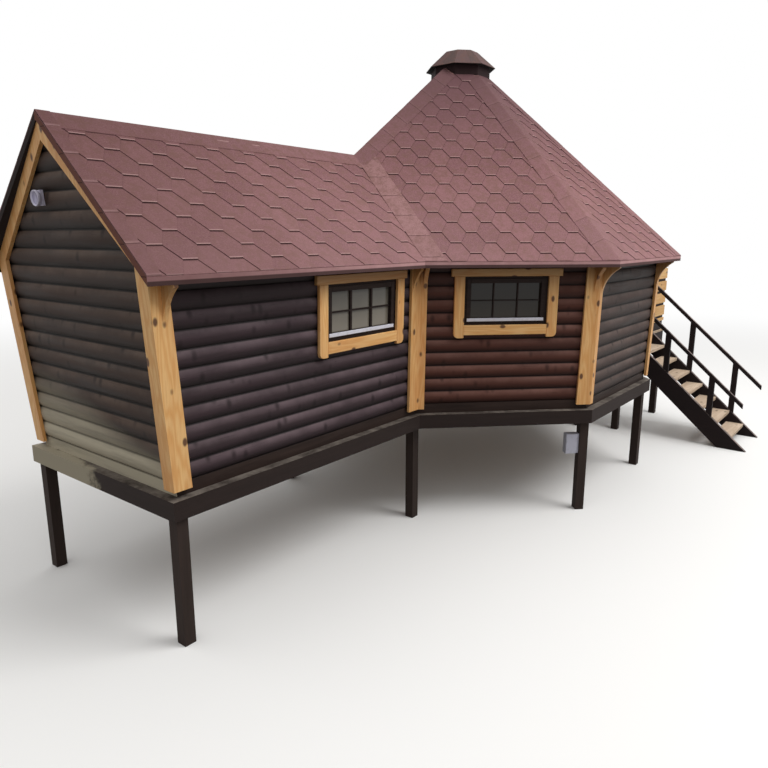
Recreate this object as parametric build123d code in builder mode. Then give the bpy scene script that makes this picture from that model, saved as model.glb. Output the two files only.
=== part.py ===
from build123d import *

import os
from math import atan, cos, degrees, radians, sin, tan

# Sauna hut: an eight-sided log body with a shingled pyramid roof, and a gabled log wing on its left face.
# Millimetres. X runs from the wing to the stair, Z up from level ground, the front faces -Y.

# Levels
FOOT_Z = 1250.0  # joint under the lowest log
SILL = 100.0  # plain sill board below that joint
BEAM_HEIGHT = 145.0
BEAM_TOP = FOOT_Z - SILL
BEAM_BOTTOM = BEAM_TOP - BEAM_HEIGHT
FLOOR_THICK = 100.0

# Log walls
COURSE = 135.0  # height of one log
LOG_BULGE = 24.0  # how far a log rounds out from the joint plane
WALL_INSIDE = 50.0  # joint plane to inner face
SILL_PROUD = 6.0
SIDE_LEAN = 0.025  # outward lean, run over rise
GABLE_LEAN = 0.075
BODY_APOTHEM = 2279.0  # axis to the joint plane of a body wall, at the foot
WING_HALF = 969.0
WING_END = 5141.0
MAIN_COURSES = 13
GABLE_COURSES = 21

# Roof: heights of the top surfaces, and the plumb thickness of the panels
APEX_Z = FOOT_Z + 3940.0
EAVE_Z = FOOT_Z + 1457.0
RIDGE_Z = FOOT_Z + 2532.0
BODY_EAVE = BODY_APOTHEM + 291.0  # axis to the eave edge
WING_EAVE = WING_HALF + 230.0
VERGE_X = -WING_END - 248.0
ROOF_THICK = 55.0
PANEL_GAP = 0.4  # left open at a mitre between two like boards or panels
BODY_SLOPE = (APEX_Z - EAVE_Z) / BODY_EAVE
WING_SLOPE = (RIDGE_Z - EAVE_Z) / WING_EAVE
CAP_LAYER = 6.0  # ridge and hip shingles above the roof surface
HIP_HALF = 165.0
RIDGE_HALF = 130.0
VALLEY_STRIP = 165.0
VALLEY_LAYER = 4.0

# Vent on the roof top
COLLAR_OUT = 343.0
COLLAR_WALL = 30.0
CAP_BASE_Z = APEX_Z - 210.0
CAP_TOP_Z = APEX_Z - 10.0
CAP_BASE = 407.0
CAP_TOP = 195.0
CAP_SHELL = 18.0

# Base frame and piers
LEDGE = 85.0  # frame beyond the joint plane
FRAME_INSIDE = 95.0
PIER = 95.0
PIER_INSET = 119.0  # pier axis from the frame's corner
PIER_RADIUS = (BODY_APOTHEM + LEDGE) / cos(radians(22.5)) - PIER_INSET

# Trim boards
SEAT = 0.2  # clearance between a board and the crowns of the logs
BOARD = 28.0
POST_WIDE = 130.0  # corner boards, from the corner of the joint planes: on the slanting faces of the body
POST_NARROW = 50.0  # on its straight faces
POST_JUNCTION_WING = 175.0  # in the hollow corner between wing and body
POST_JUNCTION_BODY = 84.0
POST_GABLE_SIDE = 98.0
POST_GABLE_END = 73.0
POST_DROP = 45.0  # posts end this far below the lowest joint
BARGE_WIDTH = 95.0

# Brackets under the eaves, each square to its wall
BRACKET_THICK = 38.0
BRACKET_REACH = 170.0  # out from the corner board
BRACKET_LOW = EAVE_Z - 338.0
BRACKET_HIGH = EAVE_Z - 72.0
BRACKET_INSET = 28.0  # from the corner of the joint planes
JUNCTION_INSETS = (145.0, 60.0)  # on the wing and on the body
JUNCTION_REACHES = (100.0, 150.0)
GABLE_BRACKET_REACH = 140.0
GABLE_BRACKET_OUT = 42.0  # beyond the joint plane of the gable wall, at the foot

# Windows, measured up from the lowest joint
WINDOW_LOW = 820.0
WINDOW_HIGH = 1310.0
BODY_WINDOW_HALF = 432.0
WING_WINDOW_HALF = 478.0
WING_WINDOW_SHARE = 0.308  # place of the window along the wing wall, counted from the body
JUNCTION_X = WING_HALF - BODY_APOTHEM / cos(radians(45))
WING_WINDOW_X = JUNCTION_X - WING_WINDOW_SHARE * (WING_END + JUNCTION_X)
TRIM_SIDE = 105.0
TRIM_TAIL = 130.0  # side boards run below the opening
TRIM_SILL = 100.0
TRIM_HEAD = 77.0
HEAD_REACH = 33.0
FRAME_BAND = 70.0
GLASS = 6.0

# Door in the right face
DOOR_HALF = 400.0
DOOR_LOW = 188.0
DOOR_HIGH = 1500.0
DOOR_THICK = 45.0
DOOR_JAMB = 45.0

# Stair and landing
DECK_Z = FOOT_Z + 188.0
STEPS = 8
RISE = DECK_Z / STEPS
RUN = 206.0
DECK_Y = -1680.0
DECK_X0 = BODY_APOTHEM + LEDGE  # against the base frame
DECK_X1 = 3820.0
DECK_Y1 = 950.0
DECK_BOARD = 28.0
JOIST_HEIGHT = 145.0
STRINGER = 55.0
STRINGER_DEPTH = 250.0
STAIR_WIDTH = 815.0
TREAD_THICK = 40.0
TREAD_DEPTH = 235.0
RAIL_NEAR = 545.0
RAIL_FAR = 730.0
RAIL_DEEP = 62.0
RAIL_NEAR_ENDS = (1.1, 7.5)  # ends and posts of each rail, in treads down from the landing
RAIL_NEAR_POSTS = (2.35, 5.45)
RAIL_FAR_ENDS = (0.05, 7.85)
RAIL_FAR_POSTS = (2.9, 6.05)
RAIL_POST = 76.0
RAIL_THICK = 42.0
PITCH = RISE / RUN

# Sizes that only have to pass the hut's outside
BEYOND = 2 * WING_END
ABOVE = 2 * APEX_Z
WALL_TOP = MAIN_COURSES * COURSE

BODY_FACES = {"front_left": 225, "front": 270, "right_front": 315, "door": 0,
              "right_rear": 45, "rear": 90, "rear_left": 135}


def flat(azimuth):
    """Unit vector in plan at an azimuth in degrees."""
    return Vector(cos(radians(azimuth)), sin(radians(azimuth)), 0)


def wall_axes(azimuth, lean):
    """Along, up and outward directions of a leaning wall."""
    angle = atan(lean)
    out = flat(azimuth)
    along = Vector(-out.Y, out.X, 0)
    outward = out * cos(angle) - Vector(0, 0, sin(angle))
    upward = out * sin(angle) + Vector(0, 0, cos(angle))
    return along, upward, outward


class Face:
    """A leaning wall face: its joint plane at the foot, and its neighbours' mitres."""

    def __init__(self, azimuth, distance, lean, shift=0.0):
        self.azimuth = azimuth
        self.distance = distance
        self.lean = lean
        self.along, self.upward, self.outward = wall_axes(azimuth, lean)
        self.origin = flat(azimuth) * distance + Vector(shift, 0, FOOT_Z)
        self.elevation = Plane(self.origin, x_dir=self.along, z_dir=self.outward)
        self.section = Plane(self.origin, x_dir=self.outward, z_dir=self.along * -1)

    def corner(self, other):
        """Foot of the shared corner and its direction going up."""
        a, b = flat(self.azimuth), flat(other.azimuth)
        det = a.X * b.Y - a.Y * b.X

        def meet(p, q):
            return Vector((p * b.Y - q * a.Y) / det, (a.X * q - b.X * p) / det, 0)

        foot = meet(self.distance, other.distance) + Vector(0, 0, FOOT_Z)
        rise = meet(self.lean, other.lean) + Vector(0, 0, 1)
        return foot, rise

    def mitre(self, other):
        """Mitre plane with a neighbour; this wall lies on its lower side."""
        foot, rise = self.corner(other)
        normal = rise.cross(flat(self.azimuth) + flat(other.azimuth))
        if (self.origin - foot).dot(normal) > 0:
            normal = normal * -1
        return Plane(foot, z_dir=normal)


def below(slope, azimuth, height):
    """Plane of a roof surface falling outward at an azimuth; the house is on its lower side."""
    return Plane(Vector(0, 0, height), z_dir=flat(azimuth) * slope + Vector(0, 0, 1))


def gable_outline(drop):
    """End view of the wing under its roof surfaces lowered by a plumb drop, down to the ground."""
    wide = 2 * WING_EAVE
    eave = RIDGE_Z - drop - wide * WING_SLOPE
    return [(-wide, 0), (wide, 0), (wide, eave), (0, RIDGE_Z - drop), (-wide, eave)]


def roof_block(drop):
    """Everything under the roof surfaces lowered by a plumb drop."""
    with BuildPart() as body:
        with BuildSketch(Plane.XY):
            Rectangle(2 * BEYOND, 2 * BEYOND)
        extrude(amount=ABOVE)
        for azimuth in BODY_FACES.values():
            split(bisect_by=below(BODY_SLOPE, azimuth, APEX_Z - drop), keep=Keep.BOTTOM)
    with BuildPart() as wing:
        with BuildSketch(Plane.YZ):
            with BuildLine():
                Polyline(*gable_outline(drop), close=True)
            make_face()
        extrude(amount=-BEYOND)
    return body.part, wing.part


body_under, wing_under = roof_block(ROOF_THICK)
with BuildPart() as under_roof:
    add(body_under)
    add(wing_under)

faces = {name: Face(azimuth, BODY_APOTHEM, SIDE_LEAN) for name, azimuth in BODY_FACES.items()}
faces["wing_front"] = Face(270, WING_HALF, SIDE_LEAN, WING_WINDOW_X)
faces["wing_rear"] = Face(90, WING_HALF, SIDE_LEAN, WING_WINDOW_X)
faces["gable"] = Face(180, WING_END, GABLE_LEAN)
RING = ["wing_front", "front_left", "front", "right_front", "door", "right_rear", "rear", "rear_left",
        "wing_rear", "gable"]


def neighbours(name):
    """Faces before and after a face, going round the hut."""
    spot = RING.index(name)
    return faces[RING[spot - 1]], faces[RING[(spot + 1) % len(RING)]]


def log_wall(name, courses):
    """A wall of rounded logs on a sill board, mitred to its neighbours and cut under the roof."""
    face = faces[name]
    with BuildPart() as wall:
        with BuildSketch(face.section):
            with BuildLine():
                Polyline((0, 0), (SILL_PROUD, 0), (SILL_PROUD, -SILL - 20), (-WALL_INSIDE, -SILL - 20),
                         (-WALL_INSIDE, courses * COURSE), (0, courses * COURSE))
                for course in range(courses):
                    low = course * COURSE
                    ThreePointArc((0, low), (LOG_BULGE, low + COURSE / 2), (0, low + COURSE))
            make_face()
        extrude(amount=BEYOND, both=True)
        for other in neighbours(name):
            split(bisect_by=face.mitre(other), keep=Keep.BOTTOM)
        split(bisect_by=Plane.XY.offset(BEAM_TOP), keep=Keep.TOP)
        add(under_roof.part, mode=Mode.INTERSECT)
    return wall.part


def cut_opening(part, face, half, low, high):
    """The part with a rectangular opening cut through it."""
    with BuildPart() as opened:
        add(part)
        with BuildSketch(face.elevation):
            with Locations((0, (low + high) / 2)):
                Rectangle(2 * half, high - low)
        extrude(amount=200, both=True, mode=Mode.SUBTRACT)
    return opened.part


def board_layer(face, points, start, thick):
    """A flat piece drawn on a wall's elevation, standing off its joint plane."""
    with BuildPart() as piece:
        with BuildSketch(face.elevation.offset(start)):
            with BuildLine():
                Polyline(*points, close=True)
            make_face()
        extrude(amount=thick)
    return piece.part


nodes = {}


def save(name, *shapes):
    """Keeps one node's solids for the export."""
    nodes[name] = [solid for shape in shapes for solid in shape.solids()]


# Base frames: a ring of beams under the body and three beams under the wing
with BuildPart() as body_frame:
    with BuildSketch(Plane.XY.offset(BEAM_BOTTOM)):
        RegularPolygon(BODY_APOTHEM + LEDGE, 8, major_radius=False, rotation=22.5)
        RegularPolygon(BODY_APOTHEM - FRAME_INSIDE, 8, major_radius=False, rotation=22.5, mode=Mode.SUBTRACT)
    extrude(amount=BEAM_HEIGHT)
save("body_base_frame", body_frame.part)

with BuildPart() as wing_frame:
    with BuildSketch(Plane.XY.offset(BEAM_BOTTOM)):
        outer_x = WING_END + LEDGE
        inner_x = WING_END - FRAME_INSIDE
        with Locations((-outer_x / 2, 0)):
            Rectangle(outer_x, 2 * (WING_HALF + LEDGE))
        with Locations((-inner_x / 2, 0)):
            Rectangle(inner_x, 2 * (WING_HALF - FRAME_INSIDE), mode=Mode.SUBTRACT)
        RegularPolygon(BODY_APOTHEM + LEDGE, 8, major_radius=False, rotation=22.5, mode=Mode.SUBTRACT)
    extrude(amount=BEAM_HEIGHT)
save("wing_base_frame", wing_frame.part)

# Piers down to level ground
with BuildPart() as body_piers:
    with BuildSketch(Plane.XY):
        with PolarLocations(PIER_RADIUS, 8, start_angle=22.5):
            Rectangle(PIER, PIER, rotation=-22.5)  # square to the wall on one side of its corner
    extrude(amount=BEAM_BOTTOM)
save("body_piers", body_piers.part)

with BuildPart() as wing_piers:
    with BuildSketch(Plane.XY):
        with Locations((-WING_END, WING_HALF), (-WING_END, -WING_HALF)):
            Rectangle(PIER, PIER)
    extrude(amount=BEAM_BOTTOM)
save("wing_piers", wing_piers.part)

# Floors
with BuildPart() as body_floor:
    with BuildSketch(Plane.XY.offset(BEAM_TOP)):
        RegularPolygon(BODY_APOTHEM - WALL_INSIDE - 6, 8, major_radius=False, rotation=22.5)
    extrude(amount=FLOOR_THICK)
save("body_floor", body_floor.part)

with BuildPart() as wing_floor:
    with BuildSketch(Plane.XY.offset(BEAM_TOP)):
        floor_x0 = -(WING_END - WALL_INSIDE - 12)
        floor_x1 = -(BODY_APOTHEM - WALL_INSIDE - 6) - 1
        with Locations(((floor_x0 + floor_x1) / 2, 0)):
            Rectangle(floor_x1 - floor_x0, 2 * (WING_HALF - WALL_INSIDE - 6))
    extrude(amount=FLOOR_THICK)
save("wing_floor", wing_floor.part)

# Log walls
walls = {name: log_wall(name, GABLE_COURSES if name == "gable" else MAIN_COURSES) for name in RING}
WINDOWS = [("front_left", BODY_WINDOW_HALF), ("rear_left", BODY_WINDOW_HALF),
           ("wing_front", WING_WINDOW_HALF), ("wing_rear", WING_WINDOW_HALF)]
for name, half in WINDOWS:
    walls[name] = cut_opening(walls[name], faces[name], half, WINDOW_LOW, WINDOW_HIGH)
for name in RING:
    if name != "door":
        save(f"{name}_log_wall", walls[name])

# The door face: logs each side of the doorway, and short logs under and over it
door = faces["door"]
with BuildPart() as door_sides:
    add(walls["door"])
    with BuildSketch(door.elevation):
        Rectangle(2 * DOOR_HALF, ABOVE)
    extrude(amount=200, both=True, mode=Mode.SUBTRACT)
save("door_side_walls", door_sides.part)

with BuildPart() as door_ends:
    add(walls["door"])
    with BuildSketch(door.elevation):
        Rectangle(2 * DOOR_HALF, ABOVE)
    extrude(amount=200, both=True, mode=Mode.INTERSECT)
    with BuildSketch(door.elevation):
        with Locations((0, (DOOR_LOW + DOOR_HIGH) / 2)):
            Rectangle(2 * DOOR_HALF + 10, DOOR_HIGH - DOOR_LOW)
    extrude(amount=200, both=True, mode=Mode.SUBTRACT)
save("door_lintel_and_threshold", door_ends.part)

# Barge boards on the gable wall, under the roof edge
gable = faces["gable"]
barge_drop = BARGE_WIDTH / cos(atan(WING_SLOPE)) + ROOF_THICK
with BuildPart() as lower_roof:
    with BuildSketch(Plane.YZ):
        with BuildLine():
            Polyline(*gable_outline(barge_drop), close=True)
        make_face()
    extrude(amount=-BEYOND)
with BuildPart() as barge:
    add(board_layer(gable, [(-WING_EAVE, WINDOW_HIGH - BARGE_WIDTH), (WING_EAVE, WINDOW_HIGH - BARGE_WIDTH),
                            (WING_EAVE, RIDGE_Z), (-WING_EAVE, RIDGE_Z)],
                    LOG_BULGE + SEAT, BOARD))
    add(under_roof.part, mode=Mode.INTERSECT)
    add(lower_roof.part, mode=Mode.SUBTRACT)
    split(bisect_by=gable.mitre(faces["wing_front"]), keep=Keep.BOTTOM)
    split(bisect_by=gable.mitre(faces["wing_rear"]), keep=Keep.BOTTOM)
    with BuildSketch(Plane.XY):
        with Locations((-WING_END, 0)):
            Rectangle(WING_HALF, PANEL_GAP)
    extrude(amount=ABOVE, mode=Mode.SUBTRACT)
save("barge_boards", barge.part)


def side_of(face, foot):
    """1 where a corner's foot lies at the far end of the face, counted along it, or -1."""
    return 1 if (foot - face.origin).dot(face.along) > 0 else -1


def corner_post(one, two, width_one, width_two):
    """Two boards meeting along a corner, each lying on the logs of its wall."""
    first, second = faces[one], faces[two]
    with BuildPart() as post:
        for face, other, width in ((first, second, width_one), (second, first, width_two)):
            foot, rise = face.corner(other)
            side = side_of(face, foot)
            beyond = LOG_BULGE + 2 * BOARD
            points = []
            for height, reach in ((-POST_DROP, beyond), (-POST_DROP, -width), (WALL_TOP, -width), (WALL_TOP, beyond)):
                corner = (foot + rise * height - face.origin).dot(face.along)
                points.append((corner + side * reach, height))
            with BuildPart(mode=Mode.PRIVATE) as board:
                add(board_layer(face, points, LOG_BULGE + SEAT, BOARD))
                split(bisect_by=face.mitre(other), keep=Keep.BOTTOM)
            add(board.part)
        add(under_roof.part, mode=Mode.INTERSECT)
        add(barge.part, mode=Mode.SUBTRACT)
    return post.part


CORNERS = [("wing_front", "front_left", POST_JUNCTION_WING, POST_JUNCTION_BODY),
           ("front_left", "front", POST_WIDE, POST_NARROW),
           ("front", "right_front", POST_NARROW, POST_WIDE),
           ("right_front", "door", POST_WIDE, POST_NARROW),
           ("door", "right_rear", POST_NARROW, POST_WIDE),
           ("right_rear", "rear", POST_WIDE, POST_NARROW),
           ("rear", "rear_left", POST_NARROW, POST_WIDE),
           ("rear_left", "wing_rear", POST_JUNCTION_BODY, POST_JUNCTION_WING)]
posts = [corner_post(*corner) for corner in CORNERS]
save("body_corner_posts", *posts)
gable_posts = [corner_post("gable", "wing_front", POST_GABLE_END, POST_GABLE_SIDE),
               corner_post("wing_rear", "gable", POST_GABLE_SIDE, POST_GABLE_END)]
save("gable_corner_posts", *gable_posts)


# Curved brackets under the eaves at the corners
def bracket(plane, start, reach, solids):
    """A bracket in an upright plane: its outer edge is a hollow curve from the post up to the eave."""
    inner = start - BOARD / 2
    outer = start + reach
    top = FOOT_Z + WALL_TOP
    middle = start + 0.3 * reach
    with BuildPart() as piece:
        with BuildSketch(plane):
            with BuildLine():
                Polyline((inner, top), (inner, BRACKET_LOW), (start, BRACKET_LOW))
                ThreePointArc((start, BRACKET_LOW), (middle, 0.43 * BRACKET_LOW + 0.57 * BRACKET_HIGH),
                              (outer, BRACKET_HIGH))
                Polyline((outer, BRACKET_HIGH), (outer, top), (inner, top))
            make_face()
        extrude(amount=BRACKET_THICK / 2, both=True)
        add(under_roof.part, mode=Mode.INTERSECT)
        for solid in solids:
            add(solid, mode=Mode.SUBTRACT)
    return max(piece.part.solids(), key=lambda solid: solid.volume)


def wall_bracket(name, point, reach, post):
    """A bracket square to a wall, at a plan point on its joint plane."""
    out = flat(faces[name].azimuth)
    plane = Plane(Vector(point.X, point.Y, 0), x_dir=out, z_dir=Vector(out.Y, -out.X, 0))
    board_face = (LOG_BULGE + SEAT + BOARD) + SIDE_LEAN * (BRACKET_LOW - FOOT_Z)
    return bracket(plane, board_face, reach, [post, walls[name]])


brackets = []
for (one, two, _, _), post in zip(CORNERS, posts):
    foot, rise = faces[one].corner(faces[two])
    at_bracket = foot + rise * (BRACKET_LOW - FOOT_Z)
    for name in (one, two):
        at_wing = name.startswith("wing")
        in_hollow = one.startswith("wing") or two.startswith("wing")
        inset = JUNCTION_INSETS[0 if at_wing else 1] if in_hollow else BRACKET_INSET
        reach = JUNCTION_REACHES[0 if at_wing else 1] if in_hollow else BRACKET_REACH
        face = faces[name]
        flush = face.origin + face.along * ((at_bracket - face.origin).dot(face.along) - side_of(face, foot) * inset)
        brackets.append(wall_bracket(name, flush, reach, post))
for name, post in (("wing_front", gable_posts[0]), ("wing_rear", gable_posts[1])):
    out = flat(faces[name].azimuth)
    point = out * WING_HALF - Vector(WING_END + GABLE_BRACKET_OUT, 0, 0)
    brackets.append(wall_bracket(name, point, GABLE_BRACKET_REACH, post))
save("eave_brackets", *brackets)


# Windows: trim boards on the logs, a dark frame in the opening, glass and a drip rail
def window_trim(face, half):
    """Four boards round an opening as one piece; the side boards have rounded tails."""
    side = half + TRIM_SIDE
    with BuildPart() as trim:
        with BuildSketch(face.elevation.offset(LOG_BULGE + SEAT)):
            low = WINDOW_LOW - TRIM_TAIL
            for sign in (-1, 1):
                with Locations((sign * (half + TRIM_SIDE / 2), (low + WINDOW_HIGH) / 2)):
                    RectangleRounded(TRIM_SIDE, WINDOW_HIGH - low, 22)
            with Locations((0, WINDOW_HIGH + TRIM_HEAD / 2 - 15)):
                Rectangle(2 * (side + HEAD_REACH), TRIM_HEAD + 30)
            with Locations((0, WINDOW_LOW - TRIM_SILL / 2)):
                Rectangle(2 * half + 20, TRIM_SILL)
            with Locations((0, (WINDOW_LOW + WINDOW_HIGH) / 2)):
                Rectangle(2 * half, WINDOW_HIGH - WINDOW_LOW, mode=Mode.SUBTRACT)
        extrude(amount=BOARD)
    return trim.part


def window_frame(face, half):
    """A frame filling the opening's edge."""
    with BuildPart() as frame:
        with BuildSketch(face.elevation.offset(-WALL_INSIDE)):
            with Locations((0, (WINDOW_LOW + WINDOW_HIGH) / 2)):
                Rectangle(2 * half, WINDOW_HIGH - WINDOW_LOW)
                Rectangle(2 * (half - FRAME_BAND), WINDOW_HIGH - WINDOW_LOW - 2 * FRAME_BAND, mode=Mode.SUBTRACT)
        extrude(amount=WALL_INSIDE + 16)
    return frame.part


def window_glass(face, half):
    """One sheet held by the frame."""
    with BuildPart() as sheet:
        with BuildSketch(face.elevation.offset(-GLASS / 2 - 12)):
            with Locations((0, (WINDOW_LOW + WINDOW_HIGH) / 2)):
                Rectangle(2 * (half - FRAME_BAND), WINDOW_HIGH - WINDOW_LOW - 2 * FRAME_BAND)
        extrude(amount=GLASS)
    return sheet.part


def drip_rail(face, half):
    """A light rail along the bottom of the sash."""
    with BuildPart() as rail:
        with BuildSketch(face.elevation.offset(16)):
            with Locations((0, WINDOW_LOW + 52)):
                Rectangle(2 * half - 64, 32)
        extrude(amount=16)
        chamfer(rail.faces().sort_by(SortBy.AREA)[-1].edges(), 3)
    return rail.part


windows = [(faces[name], half) for name, half in WINDOWS]
save("window_trims", *[window_trim(face, half) for face, half in windows])
save("window_frames", *[window_frame(face, half) for face, half in windows])
save("window_glass", *[window_glass(face, half) for face, half in windows])
save("window_drip_rails", *[drip_rail(face, half) for face, half in windows])

# Door: a jamb frame in the doorway and a boarded leaf inside it
with BuildPart() as jamb:
    with BuildSketch(door.elevation.offset(-WALL_INSIDE)):
        with Locations((0, (DOOR_LOW + DOOR_HIGH) / 2)):
            Rectangle(2 * DOOR_HALF, DOOR_HIGH - DOOR_LOW)
            Rectangle(2 * (DOOR_HALF - DOOR_JAMB), DOOR_HIGH - DOOR_LOW - 2 * DOOR_JAMB, mode=Mode.SUBTRACT)
    extrude(amount=WALL_INSIDE + LOG_BULGE)
save("door_jambs", jamb.part)

with BuildPart() as leaf:
    with BuildSketch(door.elevation.offset(LOG_BULGE - DOOR_THICK - 6)):
        with Locations((0, (DOOR_LOW + DOOR_HIGH) / 2)):
            Rectangle(2 * (DOOR_HALF - DOOR_JAMB), DOOR_HIGH - DOOR_LOW - 2 * DOOR_JAMB)
    extrude(amount=DOOR_THICK)
save("door_leaf", leaf.part)


# Roof panels: a slab on each face, mitred along the hips, the top cut open for the vent
def half_plane(point, direction, keep_point):
    """Upright plane through a plan line, with the kept point on its lower side."""
    normal = Vector(direction.Y, -direction.X, 0)
    if (keep_point - point).dot(normal) > 0:
        normal = normal * -1
    return Plane(point, z_dir=normal).offset(-PANEL_GAP / 2)


valley_x0 = -(APEX_Z - RIDGE_Z) / (BODY_SLOPE * cos(radians(45)))
valley_x1 = -(BODY_EAVE / cos(radians(45)) - WING_EAVE)
VALLEY_TOP = Vector(valley_x0, 0, 0)
VALLEY_FOOT = Vector(valley_x1, -WING_EAVE, 0)
VALLEY_RUN = VALLEY_FOOT - VALLEY_TOP


def mirror_y(vector, side):
    """The vector, or its mirror image in the XZ plane."""
    return Vector(vector.X, vector.Y * side, vector.Z)


def body_slab(azimuth, low, high):
    """One body roof slab between two plumb offsets from the top surface."""
    inward = flat(azimuth)
    section = Plane(Vector(0, 0, 0), x_dir=inward, z_dir=Vector(inward.Y, -inward.X, 0))
    with BuildPart() as slab:
        with BuildSketch(section):
            with BuildLine():
                Polyline((0, APEX_Z + low), (BODY_EAVE, EAVE_Z + low), (BODY_EAVE, EAVE_Z + high),
                         (0, APEX_Z + high), close=True)
            make_face()
        extrude(amount=BEYOND, both=True)
        if azimuth in (225, 135):
            side = 1 if azimuth == 225 else -1
            inside = flat(azimuth) * 1000
            outer_hip = flat(247.5 if side == 1 else 112.5)
            split(bisect_by=half_plane(Vector(0, 0, 0), outer_hip, inside), keep=Keep.BOTTOM)
            split(bisect_by=half_plane(Vector(0, 0, 0), Vector(-1, 0, 0), inside), keep=Keep.BOTTOM)
            split(bisect_by=half_plane(VALLEY_TOP, mirror_y(VALLEY_RUN, side), inside), keep=Keep.BOTTOM)
        else:
            for turn in (-22.5, 22.5):
                inside = flat(azimuth) * 1000
                split(bisect_by=half_plane(Vector(0, 0, 0), flat(azimuth + turn), inside), keep=Keep.BOTTOM)
    return slab.part


with BuildPart() as vent_hole:
    with BuildSketch(Plane.XY.offset(EAVE_Z)):
        RegularPolygon(COLLAR_OUT - COLLAR_WALL, 8, major_radius=False, rotation=22.5)
    extrude(amount=ABOVE)

panels = []
for azimuth in BODY_FACES.values():
    with BuildPart() as panel:
        add(body_slab(azimuth, -ROOF_THICK, 0))
        add(vent_hole.part, mode=Mode.SUBTRACT)
    panels.append(panel.part)
save("body_roof_panels", *panels)


def wing_slab(side, low, high):
    """One wing roof slab, from the verge to the valley."""
    gap = PANEL_GAP / 2
    crest = RIDGE_Z - gap * WING_SLOPE
    with BuildPart() as slab:
        with BuildSketch(Plane.YZ.offset(VERGE_X)):
            with BuildLine():
                Polyline((-side * gap, crest + low), (-side * WING_EAVE, EAVE_Z + low),
                         (-side * WING_EAVE, EAVE_Z + high), (-side * gap, crest + high), close=True)
            make_face()
        extrude(amount=BEYOND)
        inside = Vector(-WING_END, -side * WING_HALF, 0)
        split(bisect_by=half_plane(VALLEY_TOP, mirror_y(VALLEY_RUN, side), inside), keep=Keep.BOTTOM)
    return slab.part


save("wing_roof_panels", *[wing_slab(side, -ROOF_THICK, 0) for side in (1, -1)])

# Shingle caps folded over the hips and the ridge, and the smooth strips in the valleys
body_top, wing_top = roof_block(0)
body_lift, wing_lift = roof_block(-CAP_LAYER)
with BuildPart() as roof_top:
    add(body_top)
    add(wing_top)

hips = []
for azimuth in (180, 247.5, 292.5, 337.5, 22.5, 67.5, 112.5):
    if azimuth == 180:
        run_end = -valley_x0
        spread = 33.0
    else:
        run_end = BODY_EAVE / cos(radians(22.5)) + 200
        spread = 22.0
    radius = COLLAR_OUT / cos(radians(22.5)) + 4
    start_half = min(HIP_HALF, radius * tan(radians(spread)) - 3)
    full_at = HIP_HALF / tan(radians(spread)) + 12
    direction = flat(azimuth)
    plane = Plane(Vector(0, 0, 0), x_dir=direction, z_dir=Vector(0, 0, 1))
    with BuildPart() as hip:
        with BuildSketch(plane):
            with BuildLine():
                if full_at > radius:
                    Polyline((radius, start_half), (full_at, HIP_HALF), (run_end, HIP_HALF),
                             (run_end, -HIP_HALF), (full_at, -HIP_HALF), (radius, -start_half), close=True)
                else:
                    Polyline((radius, HIP_HALF), (run_end, HIP_HALF), (run_end, -HIP_HALF),
                             (radius, -HIP_HALF), close=True)
            make_face()
        extrude(amount=ABOVE)
        add(body_lift, mode=Mode.INTERSECT)
        add(roof_top.part, mode=Mode.SUBTRACT)
        with BuildSketch(Plane.XY):
            RegularPolygon(BODY_EAVE, 8, major_radius=False, rotation=22.5)
        extrude(amount=ABOVE, mode=Mode.INTERSECT)
    hips.append(hip.part)
save("hip_caps", *hips)

with BuildPart() as ridge:
    with BuildSketch(Plane.XY.offset(EAVE_Z)):
        with Locations(((VERGE_X + valley_x0) / 2 + RIDGE_HALF, 0)):
            Rectangle(-VERGE_X + valley_x0 + 2 * RIDGE_HALF, 2 * RIDGE_HALF)
    extrude(amount=ABOVE)
    add(wing_lift, mode=Mode.INTERSECT)
    add(roof_top.part, mode=Mode.SUBTRACT)
    add(hips[0], mode=Mode.SUBTRACT)
    split(bisect_by=Plane.YZ.offset(valley_x0 - 1), keep=Keep.BOTTOM)
save("ridge_cap", ridge.part)

strips = []
for side in (1, -1):
    top = VALLEY_TOP + VALLEY_RUN * ((HIP_HALF + 2) / WING_EAVE)
    across = Vector(VALLEY_STRIP, 0, 0)
    corners = [top, VALLEY_FOOT, VALLEY_FOOT + across, top + across]
    with BuildPart() as strip:
        add(body_slab(225 if side == 1 else 135, 0, VALLEY_LAYER))
        with BuildSketch(Plane.XY):
            with BuildLine():
                Polyline(*[(corner.X, corner.Y * side) for corner in corners], close=True)
            make_face()
        extrude(amount=ABOVE, mode=Mode.INTERSECT)
    strips.append(strip.part)
save("valley_strips", *strips)

# Vent: an eight-sided collar on the roof top and a low hat over it
with BuildPart() as collar:
    with BuildSketch(Plane.XY.offset(RIDGE_Z)):
        RegularPolygon(COLLAR_OUT, 8, major_radius=False, rotation=22.5)
        RegularPolygon(COLLAR_OUT - COLLAR_WALL, 8, major_radius=False, rotation=22.5, mode=Mode.SUBTRACT)
    extrude(amount=CAP_BASE_Z - RIDGE_Z)
    add(body_top, mode=Mode.SUBTRACT)
save("vent_collar", collar.part)

with BuildPart() as hat:
    for inset, low, high, mode in ((0, 0, 0, Mode.ADD), (CAP_SHELL * 1.4, CAP_SHELL, -CAP_SHELL, Mode.SUBTRACT)):
        with BuildSketch(Plane.XY.offset(CAP_BASE_Z + low)):
            RegularPolygon(CAP_BASE - inset, 8, major_radius=False, rotation=22.5)
        with BuildSketch(Plane.XY.offset(CAP_TOP_Z + high)):
            RegularPolygon(CAP_TOP - inset, 8, major_radius=False, rotation=22.5)
        loft(mode=mode)
    with BuildSketch(Plane.XY.offset(CAP_BASE_Z)):
        Circle(COLLAR_OUT - 90)
    extrude(amount=CAP_SHELL, mode=Mode.SUBTRACT)
save("vent_cap", hat.part)

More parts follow.
